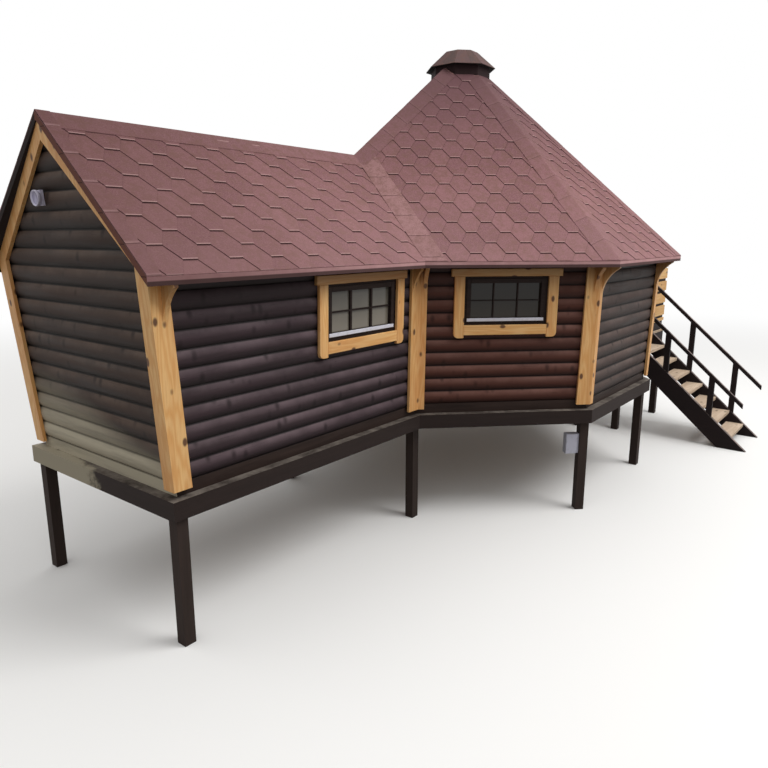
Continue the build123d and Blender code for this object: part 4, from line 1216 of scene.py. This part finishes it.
@dataclass
class RoofCovering:
    """All the felt on the roof: tabs, starter strips, valleys, verges, hips, ridge and the vent's cap."""

    finishes: Finishes
    cap_half: float = 0.168
    ridge_half: float = 0.133
    # Gaps of the tabs to the collar and to the valley line, and of the hip caps to the collar
    collar_gap: float = 0.001
    valley_gap: float = 0.09
    cap_gap: float = 0.004
    # How far the hip caps run past the eaves, and the last one past the ridge's end
    past_eave: float = 0.02
    past_ridge: float = 0.03
    # The valley pieces, their length in steps, and where their rows start and end
    valley_step: float = 0.285
    valley_width: float = 0.22
    valley_corner: float = 0.09
    valley_reach: float = 1.25
    valley_first: float = 0.06
    valley_end: float = 0.1
    # The verge pieces, how much they taper and their length in steps
    verge_step: float = 0.29
    verge_width: float = 0.105
    verge_taper: float = 0.006
    verge_reach: float = 1.2
    # The vent's cap: half its flat top, the seam between two pieces and how far the seams wander
    hat_top: float = 0.195
    hat_seam: float = 0.0012
    hat_wander: float = 0.35
    hat_low: float = -0.004
    hat_bevel: float = 0.001
    hat_end: float = 0.004

    body_azimuths = {"front_left": 225, "front": 270, "right_front": 315, "door": 0, "right_rear": 45,
                     "rear": 90, "rear_left": 135}
    hip_azimuths = (247.5, 292.5, 337.5, 22.5, 67.5, 112.5)
    # A plan point inside the wing's slope on the side of the stair
    wing_middle = np.array([-4.0, -0.5])
    hat_high = np.array([[0.002], [0.001]])
    hat_tones = np.array([0.05, 0.95])

    def __post_init__(self) -> None:
        """Works out the roof planes."""
        self.slopes = {name: roof_surface(azimuth, BODY_EAVE, APEX)
                       for name, azimuth in self.body_azimuths.items()}
        self.wing = {name: roof_surface(180 + 90 * side, WING_EAVE, RIDGE)
                     for name, side in WING_SIDES.items()}

    def body_cuts(self, name: str) -> list[Cut]:
        """Planes round one slope of the body: its eave, the collar, its hips, and the valley if it has one.

        Args:
            name: of the slope.

        Returns:
            The planes, with the valley last.
        """
        azimuth = self.body_azimuths[name]
        side = VALLEY_SIDES.get(name)
        out = flat(azimuth)
        hips = (180 + 3 * HIP_ANGLE * side, 180) if side else (azimuth - HIP_ANGLE, azimuth + HIP_ANGLE)
        cuts = [edge_cut(azimuth, BODY_EAVE), (out * (COLLAR_OUT + self.collar_gap), -out)]
        inside = out * BODY_EAVE * 0.7
        cuts += [crest_cut(hip, inside, HIP_BACK) for hip in hips]
        if side:
            foot = VALLEY_FOOT * [1, side]
            cuts.append(upright_cut(foot, foot - VALLEY_TOP, inside, self.valley_gap))
        return cuts

    def tabs(self) -> None:
        """Lays the tabs on every slope."""
        half = BODY_EAVE * math.tan(HIP_TURN)
        length = math.hypot(BODY_EAVE, APEX - EAVE)
        for name, surface in self.slopes.items():
            slope = ShingleField(name, surface, -half, half, length, self.body_cuts(name))
            slope.build(self.finishes.shingles, self.finishes.felt)
        for name, side in WING_SIDES.items():
            kept = self.wing_middle * [1, side]
            cuts = [edge_cut(180 + 90 * side, WING_EAVE),
                    (np.array([VERGE_X + CLEAR, 0, 0]), np.array([-1.0, 0, 0])),
                    crest_cut(180, kept, HIP_BACK),
                    upright_cut(VALLEY_TOP, VALLEY_FOOT * [1, side] - VALLEY_TOP, kept)]
            low, high = sorted((side * VERGE_X, side * VALLEY_TOP[0]))
            slope = ShingleField(name, self.wing[name], low, high, WING_SLOPE, cuts, pitch=0.385,
                                 exposure=0.140, first_u=-3.84 * side, first_v=0.140)
            slope.build(self.finishes.long_shingles, self.finishes.felt)

    def valleys(self) -> None:
        """Lays smooth pieces along the valleys, on the body's side, with a rounded lower corner each."""
        exposure, width, radius = self.valley_step, self.valley_width, self.valley_corner
        length = self.valley_reach * exposure
        turn = np.radians(np.linspace(-90, -10, 5))
        corner = np.stack([width - radius + radius * np.cos(turn), radius + radius * np.sin(turn)], axis=1)
        shape = np.concatenate([[(0.0, 0.0)], corner, [(width, length), (0.0, length)]])
        for name, side in VALLEY_SIDES.items():
            surface = self.slopes[name]
            ends = []
            for place in (VALLEY_FOOT, VALLEY_TOP):
                point = np.array([place[0], place[1] * side, 0])
                run = (surface.origin - point) @ flat(self.body_azimuths[name])
                ends.append(((point - surface.origin) @ surface.along, run * math.hypot(1, BODY_FALL)))
            foot, top = np.array(ends)
            count = int((top[1] - self.valley_end) / exposure) + 1
            rows = np.arange(0, count) * exposure + self.valley_first - exposure
            strip = EdgePieces(f"valley_pieces_{name}", surface, side, shape, exposure, lift=0.0130,
                               fall=0.0030, seed=11)
            strip.build(rows, foot[0], (top[0] - foot[0]) / (top[1] - foot[1]), self.finishes.valley,
                        "valley_felt", self.body_cuts(name)[:-1])

    def verges(self) -> None:
        """Lays a row of pieces along each verge."""
        exposure, width = self.verge_step, self.verge_width
        length = self.verge_reach * exposure
        shape = np.array([(0.0, 0.0), (width, self.verge_taper), (width, length), (0.0, length)])
        for name, side in WING_SIDES.items():
            strip = EdgePieces(f"verge_pieces_{name}", self.wing[name], side, shape, exposure, lift=0.0124,
                               fall=0.0014, seed=21)
            cuts = [edge_cut(180 + 90 * side, WING_EAVE), crest_cut(180, self.wing_middle * [1, side])]
            strip.build(np.arange(0, WING_SLOPE, exposure), side * (VERGE_X + VERGE_CLEAR), 0.0,
                        self.finishes.verge, "hip_shingles", cuts)

    def hips(self) -> None:
        """Lays folded caps on the hips and on the ridge of the wing."""
        peak = np.array([0, 0, APEX])
        collar = COLLAR_OUT / math.cos(HIP_TURN) + self.cap_gap
        eave = BODY_EAVE / math.cos(HIP_TURN) + self.past_eave
        for index, azimuth in enumerate(self.hip_azimuths):
            sides = (azimuth - HIP_ANGLE, azimuth + HIP_ANGLE)
            cuts = [edge_cut(side, BODY_EAVE) for side in sides]
            cuts += [crest_cut(side, flat(azimuth)) for side in sides]
            caps = FoldedCaps(f"hip_{index + 1}", peak, azimuth, BODY_FALL * math.cos(HIP_TURN),
                              BODY_FALL * math.sin(HIP_TURN), collar, eave, self.cap_half, cuts)
            caps.build(self.finishes.caps)
        saddle = FoldedCaps("hip_over_wing", peak, 180, BODY_FALL * DIAGONAL, BODY_FALL * DIAGONAL, collar,
                            self.past_ridge - VALLEY_TOP[0], self.cap_half,
                            [crest_cut(side, flat(180)) for side in (135, 225)])
        saddle.build(self.finishes.caps)
        ridge = FoldedCaps("ridge", np.array([VALLEY_TOP[0], 0, RIDGE]), 180, 0.0, WING_FALL, -0.1,
                           VALLEY_TOP[0] - VERGE_X - VERGE_CLEAR, self.ridge_half, exposure=0.98,
                           lift=0.0130, base=0.0122)
        ridge.build(self.finishes.ridge)

    def hat(self) -> None:
        """Lays two felt pieces on each of the eight slopes of the vent's cap, down to its rim."""
        low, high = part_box("vent_cap")
        rim_z, top_z = low.z - AXIS[2], high.z - AXIS[2]
        rim, top, slant = (high.x - low.x) / 2, self.hat_top, math.tan(HIP_TURN)
        end = math.hypot(rim - top, top_z - rim_z) - self.hat_end
        random = np.random.default_rng(5)
        slopes = []
        for azimuth in range(0, 360, 45):
            seams = (-1.0, random.uniform(-self.hat_wander, self.hat_wander), 1.0)
            shapes = [[(a * rim * slant, 0), (b * rim * slant, 0), (b * top * slant, end),
                       (a * top * slant, end)] for a, b in zip(seams[:-1], seams[1:])]
            slopes.append(Plates(roof_surface(azimuth, rim, top_z, rim_z, top),
                                 inset(np.array(shapes), self.hat_seam), self.hat_low, self.hat_high,
                                 self.hat_bevel, NO_MAP, self.hat_tones + random.uniform(-0.05, 0.05, 2)))
        cuts = [edge_cut(azimuth, rim) for azimuth in range(0, 360, 45)]
        cuts.append((np.array([0, 0, top_z]), np.array([0, 0, 1.0])))
        plate_piece("vent_cap_felt", slopes, self.finishes.cap_top, cuts)

    def build(self) -> None:
        """Lays everything and dresses the CAD pieces under it."""
        self.tabs()
        self.valleys()
        self.verges()
        self.hips()
        self.hat()
        dress(self.finishes.roof_board, "body_roof_panels", "wing_roof_panels")
        dress(self.finishes.felt, "hip_caps", "ridge_cap", "valley_strips")
        dress(self.finishes.hat_board, "vent_cap")
        dress(self.finishes.collar, "vent_collar")


@dataclass
class LogWalls:
    """The walls, posts and brackets, which keep their CAD shapes."""

    finishes: Finishes

    def build(self) -> None:
        """Dresses the walls and their trim."""
        logs = self.finishes.logs
        dress(logs["gable"], "gable_log_wall")
        dress(logs["grey"], "wing_front_log_wall", "wing_rear_log_wall")
        dress(logs["red"], "front_left_log_wall", "rear_left_log_wall")
        dress(logs["brown"], "front_log_wall", "right_front_log_wall", "right_rear_log_wall",
              "rear_log_wall", "door_side_walls", "door_lintel_and_threshold")
        dress(self.finishes.pine_upright, "gable_corner_posts", "barge_boards")
        dress(self.finishes.pine_posts, "body_corner_posts", "eave_brackets")


@dataclass(frozen=True)
class WindowPlace:
    """Where one window is: its wall and half the width of its opening."""

    surface: Surface
    half: float


@dataclass
class Windows:
    """Trim boards, sashes and glazing bars of the four windows; frames, glass and drip rails stay CAD."""

    finishes: Finishes
    low: float = 0.820
    high: float = 1.310
    body_half: float = 0.432
    wing_half: float = 0.478
    wing_share: float = 0.308
    trim_side: float = 0.105
    trim_tail: float = 0.130
    trim_sill: float = 0.100
    trim_head: float = 0.077
    head_reach: float = 0.033
    board_low: float = 0.0242
    board: float = 0.028
    head_proud: float = 0.004
    bevel: float = 0.004
    tail_radius: float = 0.046
    inner_radius: float = 0.007
    frame_band: float = 0.070
    frame_face: float = 0.016
    glass_face: float = -0.0088
    bar_face: float = 0.008
    cross_bar: float = 1.065
    sash_step: float = 0.024
    sash_width: float = 0.046
    sash_foot: float = 0.010
    sash_thick: float = 0.011
    pane_share: float = 0.345
    wing_bars: tuple[float, float] = (0.013, 0.007)
    body_bars: tuple[float, float] = (0.007, 0.005)

    def places(self) -> list[WindowPlace]:
        """The four windows; those of the wing sit at a share of its length from the body.

        Returns:
            Each window's place.
        """
        junction = WING_WALL - BODY_WALL / DIAGONAL
        middle = junction - self.wing_share * (GABLE_WALL + junction)
        return [WindowPlace(wall_surface(225, BODY_WALL, SIDE_LEAN), self.body_half),
                WindowPlace(wall_surface(135, BODY_WALL, SIDE_LEAN), self.body_half),
                WindowPlace(wall_surface(270, WING_WALL, SIDE_LEAN, middle), self.wing_half),
                WindowPlace(wall_surface(90, WING_WALL, SIDE_LEAN, middle), self.wing_half)]

    def trim_outlines(self, half: float) -> list[tuple[np.ndarray, bool]]:
        """Outlines of the boards round an opening; the side boards end in tails, rounded on the outside.

        Args:
            half: half the width of the opening.

        Returns:
            Each outline, anticlockwise, and whether its fibres run upright.
        """
        side = half + self.trim_side
        tail, top = self.low - self.trim_tail, self.high - CLEAR
        turn = np.radians(np.linspace(0, 90, 5))
        boards = []
        for sign in (-1, 1):
            left, right = sorted((sign * (half + CLEAR), sign * side))
            near, far = (self.tail_radius, self.inner_radius)[::-sign]
            left_corner = [(left + near - near * math.cos(a), tail + near - near * math.sin(a))
                           for a in turn]
            right_corner = [(right - far + far * math.cos(a), tail + far - far * math.sin(a))
                            for a in turn[::-1]]
            boards.append((np.array([*left_corner, *right_corner, (right, top), (left, top)]), True))
        reach, head, sill = side + self.head_reach, self.high + self.trim_head, self.low - self.trim_sill
        for half_length, bottom, top in ((reach, self.high, head), (half, sill, self.low)):
            boards.append((np.array([(-half_length, bottom), (half_length, bottom), (half_length, top),
                                     (-half_length, top)]), False))
        return boards

    def trims(self) -> None:
        """Builds the trim boards with a bevel round their faces, and lets them stand for the CAD trims."""
        random = np.random.default_rng(31)
        boards = []
        for place in self.places():
            for outline, upright in self.trim_outlines(place.half):
                is_head = not upright and outline[0, 1] >= self.high
                face = self.board_low + self.board + (self.head_proud if is_head else 0.0)
                shape = outline[:, ::-1] if upright else outline
                boards.append(Plates(place.surface, outline[None], self.board_low, face, self.bevel,
                                     (shape + random.uniform(0, 9, 2))[None],
                                     np.array([random.uniform(0, 1)])))
        piece = plate_piece("window_trim_boards", boards, self.finishes.pine_board)
        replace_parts(piece, "window_trims")

    def glazing(self) -> None:
        """Builds a sash and six panes' bars before each sheet of glass."""
        panes, sashes = [], []
        for place in self.places():
            half = place.half - self.frame_band
            low, high = self.low + self.frame_band, self.high - self.frame_band
            heavy, light = self.wing_bars if place.half == self.wing_half else self.body_bars
            spread = self.pane_share * half
            faces = (self.glass_face, self.bar_face)
            spans = ((-half, -spread - heavy), (-spread + heavy, spread - heavy), (spread + heavy, half))
            boxes = [(u - heavy, low, u + heavy, high, *faces) for u in (-spread, spread)]
            boxes += [(u0, self.cross_bar - light, u1, self.cross_bar + light, *faces) for u0, u1 in spans]
            panes += bars(place.surface, boxes, 0.002)
            outer = place.half - self.sash_step
            inner = outer - self.sash_width
            bottom, top = self.low + self.sash_step, self.high - self.sash_step
            faces = (self.frame_face + ON_FACE, self.frame_face + self.sash_thick)
            boxes = [(-outer, bottom, -inner, top, *faces), (inner, bottom, outer, top, *faces),
                     (-inner, top - self.sash_width, inner, top, *faces),
                     (-inner, bottom, inner, bottom + self.sash_foot, *faces)]
            sashes += bars(place.surface, boxes, 0.003)
        plate_piece("glazing_bars", panes, self.finishes.sash)
        plate_piece("window_sashes", sashes, self.finishes.sash)

    def build(self) -> None:
        """Builds the new pieces and dresses the CAD ones."""
        self.trims()
        self.glazing()
        dress(self.finishes.sash, "window_frames")
        dress(self.finishes.glass, "window_glass")
        dress(self.finishes.drip, "window_drip_rails")


@dataclass
class DoorAndLanding:
    """The boarded door, the landing's boards, the stair and the screen."""

    finishes: Finishes
    half: float = 0.355
    low: float = 0.233
    high: float = 1.455
    face: float = 0.018
    thick: float = 0.045
    boards: int = 6
    joint: float = 0.0004
    strap_in: float = 0.18
    strap_end: float = 0.004
    strap_half: float = 0.02
    strap_thick: float = 0.004
    grip_in: float = 0.105
    grip_low: float = 0.72
    grip_high: float = 1.0
    grip_width: float = 0.035
    grip_off: float = 0.035
    grip_thick: float = 0.025
    foot_inset: float = 0.003
    foot_tall: float = 0.03
    deck_boards: int = 11
    deck_gap: float = 0.006

    def door(self) -> None:
        """Builds the door leaf from upright bevelled boards, and lets it stand for the CAD leaf."""
        surface = wall_surface(0, BODY_WALL, SIDE_LEAN)
        edges = np.linspace(-self.half, self.half, self.boards + 1)
        row = board_row(surface, edges[:-1] + self.joint, edges[1:] - self.joint, (self.low, self.high),
                        (self.face - self.thick, self.face), 0.005, 41)
        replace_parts(plate_piece("door_boards", [row], self.finishes.door), "door_leaf")
        dress(self.finishes.pine_upright, "door_jambs")
        on = self.face + ON_FACE
        straps = [(self.strap_end - self.half, v - self.strap_half, self.half - self.strap_in,
                   v + self.strap_half, on, self.face + self.strap_thick)
                  for v in (self.low + self.strap_in, self.high - self.strap_in)]
        plate_piece("door_hinge_straps", bars(surface, straps, 0.001), self.finishes.iron)
        left, back = self.half - self.grip_in, self.face + self.grip_off
        right = left + self.grip_width
        grip = [(left, self.grip_low, right, self.grip_high, back, back + self.grip_thick)]
        grip += [(left + self.foot_inset, v, right - self.foot_inset, v + self.foot_tall, on, back - 0.0001)
                 for v in (self.grip_low + self.foot_tall, self.grip_high - 2 * self.foot_tall)]
        plate_piece("door_grip", bars(surface, grip, 0.004), self.finishes.pine_upright)

    def deck(self) -> None:
        """Builds the landing from boards that run along Y, and lets them stand for the CAD deck."""
        low, high = (np.array(corner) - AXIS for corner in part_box("landing_deck"))
        width = (high[0] - low[0] + self.deck_gap) / self.deck_boards - self.deck_gap
        left = low[0] + np.arange(self.deck_boards) * (width + self.deck_gap)
        ground = Surface(np.zeros(3), *np.eye(3))
        row = board_row(ground, left, left + width, (low[1], high[1]), (low[2], high[2]), 0.003, 43)
        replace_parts(plate_piece("landing_boards", [row], self.finishes.deck), "landing_deck")

    def build(self) -> None:
        """Builds the new pieces and dresses the CAD ones."""
        self.door()
        self.deck()
        dress(self.finishes.treads, "stair_treads")
        dress(self.finishes.stair, "stair_stringers", "handrails", "landing_frame", "screen_backing")
        dress(self.finishes.piers, "landing_piers")
        dress(self.finishes.screen, "screen_boards")


@dataclass
class Fittings:
    """The lamp on the gable wall and the service box on its pier, with floors, beams and piers."""

    finishes: Finishes
    lamp_u: float = -0.187
    lamp_v: float = 1.980
    lamp_w: float = 0.0470
    arm_low: float = 0.0244
    foot_thick: float = 0.026
    segments: int = 40

    def lamp(self) -> None:
        """Turns the lamp's head, a shallow dish with a rim and a lens, round an axis off the wall."""
        surface = wall_surface(180, GABLE_WALL, GABLE_LEAN)
        # Radius and distance from the head's back
        profile = np.array([(0.0, 0.0), (0.030, 0.0), (0.048, 0.004), (0.056, 0.012), (0.058, 0.022),
                            (0.058, 0.030), (0.0555, 0.0338), (0.052, 0.0338), (0.050, 0.031),
                            (0.047, 0.024), (0.0, 0.022)])
        angle = np.linspace(0, 2 * np.pi, self.segments, endpoint=False)
        radius, height = profile[1:-1, :1], profile[1:-1, 1:]
        ring = surface.place(self.lamp_u + radius * np.cos(angle), self.lamp_v + radius * np.sin(angle),
                             self.lamp_w + height)
        ends = surface.place(self.lamp_u, self.lamp_v, self.lamp_w + profile[[0, -1], 1])
        points = np.concatenate([ring.reshape(-1, 3), ends])
        number = np.arange(ring[..., 0].size).reshape(-1, self.segments)
        beside = np.roll(number, -1, axis=1)
        walls = np.stack([number[:-1], beside[:-1], beside[1:], number[1:]], axis=-1).reshape(-1, 4)
        back = np.stack([beside[0], number[0], np.full(self.segments, len(points) - 2)], axis=-1)
        front = np.stack([number[-1], beside[-1], np.full(self.segments, len(points) - 1)], axis=-1)
        head = build_piece("lamp_head", points, [walls, back, front], self.finishes.lamp,
                           smooth=True)
        head.data.materials.append(self.finishes.lens)
        inner = np.zeros(len(head.data.polygons), dtype=np.int32)
        inner[len(walls) + len(back):] = 1
        head.data.polygons.foreach_set("material_index", inner)
        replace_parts(head, "gable_lamp")
        u, v, foot_face = self.lamp_u, self.lamp_v, self.arm_low + self.foot_thick
        arm = [(u - 0.035, v - 0.055, u + 0.035, v + 0.055, self.arm_low, foot_face),
               (u - 0.014, v - 0.018, u + 0.014, v + 0.018, foot_face + 0.0002, self.lamp_w)]
        plate_piece("lamp_arm", bars(surface, arm, 0.004), self.finishes.lamp)

    def build(self) -> None:
        """Builds the lamp and dresses what is left."""
        self.lamp()
        dress(self.finishes.box, "service_box")
        dress(self.finishes.beams, "body_base_frame", "wing_base_frame")
        dress(self.finishes.piers, "body_piers", "wing_piers")
        dress(self.finishes.floor, "body_floor", "wing_floor")


@dataclass(frozen=True)
class Studio:
    """Floor, sky light, one soft lamp and the camera at the photograph's angle."""

    yaw: float = 0.66906
    pitch: float = 0.22046
    place: tuple[float, float, float] = (-7.6942, -4.8579, 1.7090)
    sensor: float = 36.0
    focal: float = 36.0 * 664.55 / 768
    floor_half: float = 60.0
    floor_z: float = -0.001
    sky_high: float = 1.05
    sky_low: float = 0.32
    lamp_power: float = 1150.0
    lamp_size: float = 9.0
    lamp_azimuth: float = 288
    lamp_rise: float = math.radians(46)
    lamp_away: float = 14.0
    lamp_aim: tuple[float, float, float] = (-1.5, 0, 1.2)

    def camera(self) -> None:
        """Makes the camera from its yaw and pitch."""
        level = math.cos(self.pitch)
        forward = Vector((math.cos(self.yaw) * level, math.sin(self.yaw) * level, -math.sin(self.pitch)))
        right = forward.cross(Vector((0, 0, 1))).normalized()
        turned = Matrix((right, right.cross(forward), -forward)).transposed().to_4x4()
        turned.translation = in_frame(np.array(self.place))
        data = bpy.data.cameras.new("camera")
        data.sensor_width = self.sensor
        data.lens = self.focal
        camera = bpy.data.objects.new("camera", data)
        bpy.context.scene.collection.objects.link(camera)
        camera.matrix_world = turned
        bpy.context.scene.camera = camera

    def seen(self, tree: Tree) -> Socket:
        """1 for rays that come from the camera, off a shine or through glass, and 0 for light that bounces.

        Args:
            tree: of the material or the world.

        Returns:
            The output.
        """
        rays = add(tree, "LightPath").node.outputs
        direct = add(tree, "Math", LARGER, [rays["Is Camera Ray"], rays["Is Glossy Ray"]])
        return add(tree, "Math", LARGER, [direct, rays["Is Transmission Ray"]])

    def floor(self) -> None:
        """Makes a pale floor that turns into the white background far away and keeps the hut's shadow."""
        size, z = self.floor_half, self.floor_z
        data = bpy.data.meshes.new("floor")
        data.from_pydata([(-size, -size, z), (size, -size, z), (size, size, z), (-size, size, z)], [],
                         [(0, 1, 2, 3)])
        floor = bpy.data.objects.new("floor", data)
        bpy.context.scene.collection.objects.link(floor)
        material, tree, shader = new_material("pale_studio_floor")
        seen = self.seen(tree)
        colour = add(tree, "Mix", COLOURS, {
            FACTOR: seen, COLOUR_A: linear("#77736e"), COLOUR_B: linear("#f2f1ef")}, MIXED)
        connect(shader, {"Base Color": colour, "Roughness": 1.0, "Specular IOR Level": 0.0})
        place = add(tree, "TexCoord", output="Object")
        distance = add(tree, "VectorMath", {"operation": "LENGTH"}, [place], "Value")
        away = add(tree, "MapRange", SMOOTH, [distance, 7.0, 22.0])
        share = add(tree, "Math", MULTIPLY, [away, seen])
        white = add(tree, "Emission", inputs={"Color": (1, 1, 1, 1), "Strength": 1.0})
        both = add(tree, "MixShader", inputs=[share, shader.outputs[0], white])
        connect(tree.nodes["Material Output"], {"Surface": both})
        floor.data.materials.append(material)

    def light(self) -> None:
        """Makes a sky that is brighter overhead, white to the camera, and one large soft lamp."""
        world = bpy.data.worlds.new("sky")
        world.use_nodes = True
        tree = world.node_tree
        up = add(tree, "SeparateXYZ", inputs=[add(tree, "TexCoord", output="Generated")], output=2)
        overhead = add(tree, "MapRange", inputs=[up, 0.0, 1.0, self.sky_low, self.sky_high])
        strength = add(tree, "Mix", {"data_type": "FLOAT"}, {0: self.seen(tree), 2: overhead, 3: 1.0})
        connect(tree.nodes["Background"], {"Color": (1, 1, 1, 1), "Strength": strength})
        bpy.context.scene.world = world
        data = bpy.data.lights.new("soft_lamp", "AREA")
        data.shape = "DISK"
        data.size = self.lamp_size
        data.energy = self.lamp_power
        lamp = bpy.data.objects.new("soft_lamp", data)
        bpy.context.scene.collection.objects.link(lamp)
        toward = flat(self.lamp_azimuth) * math.cos(self.lamp_rise) + [0, 0, math.sin(self.lamp_rise)]
        lamp.location = in_frame(np.array(self.lamp_aim)) + Vector(toward.tolist()) * self.lamp_away
        lamp.rotation_euler = Vector((-toward).tolist()).to_track_quat("-Z", "Y").to_euler()

    def build(self) -> None:
        """Sets up the studio."""
        self.camera()
        self.floor()
        self.light()
        bpy.context.scene.view_settings.view_transform = "Standard"


def main() -> None:
    """Builds the studio and then each part of the hut."""
    logging.basicConfig(level=logging.INFO, format="%(message)s")
    Studio().build()
    finishes = Finishes()
    LogWalls(finishes).build()
    RoofCovering(finishes).build()
    Windows(finishes).build()
    DoorAndLanding(finishes).build()
    Fittings(finishes).build()


if __name__ == "__main__":
    main()
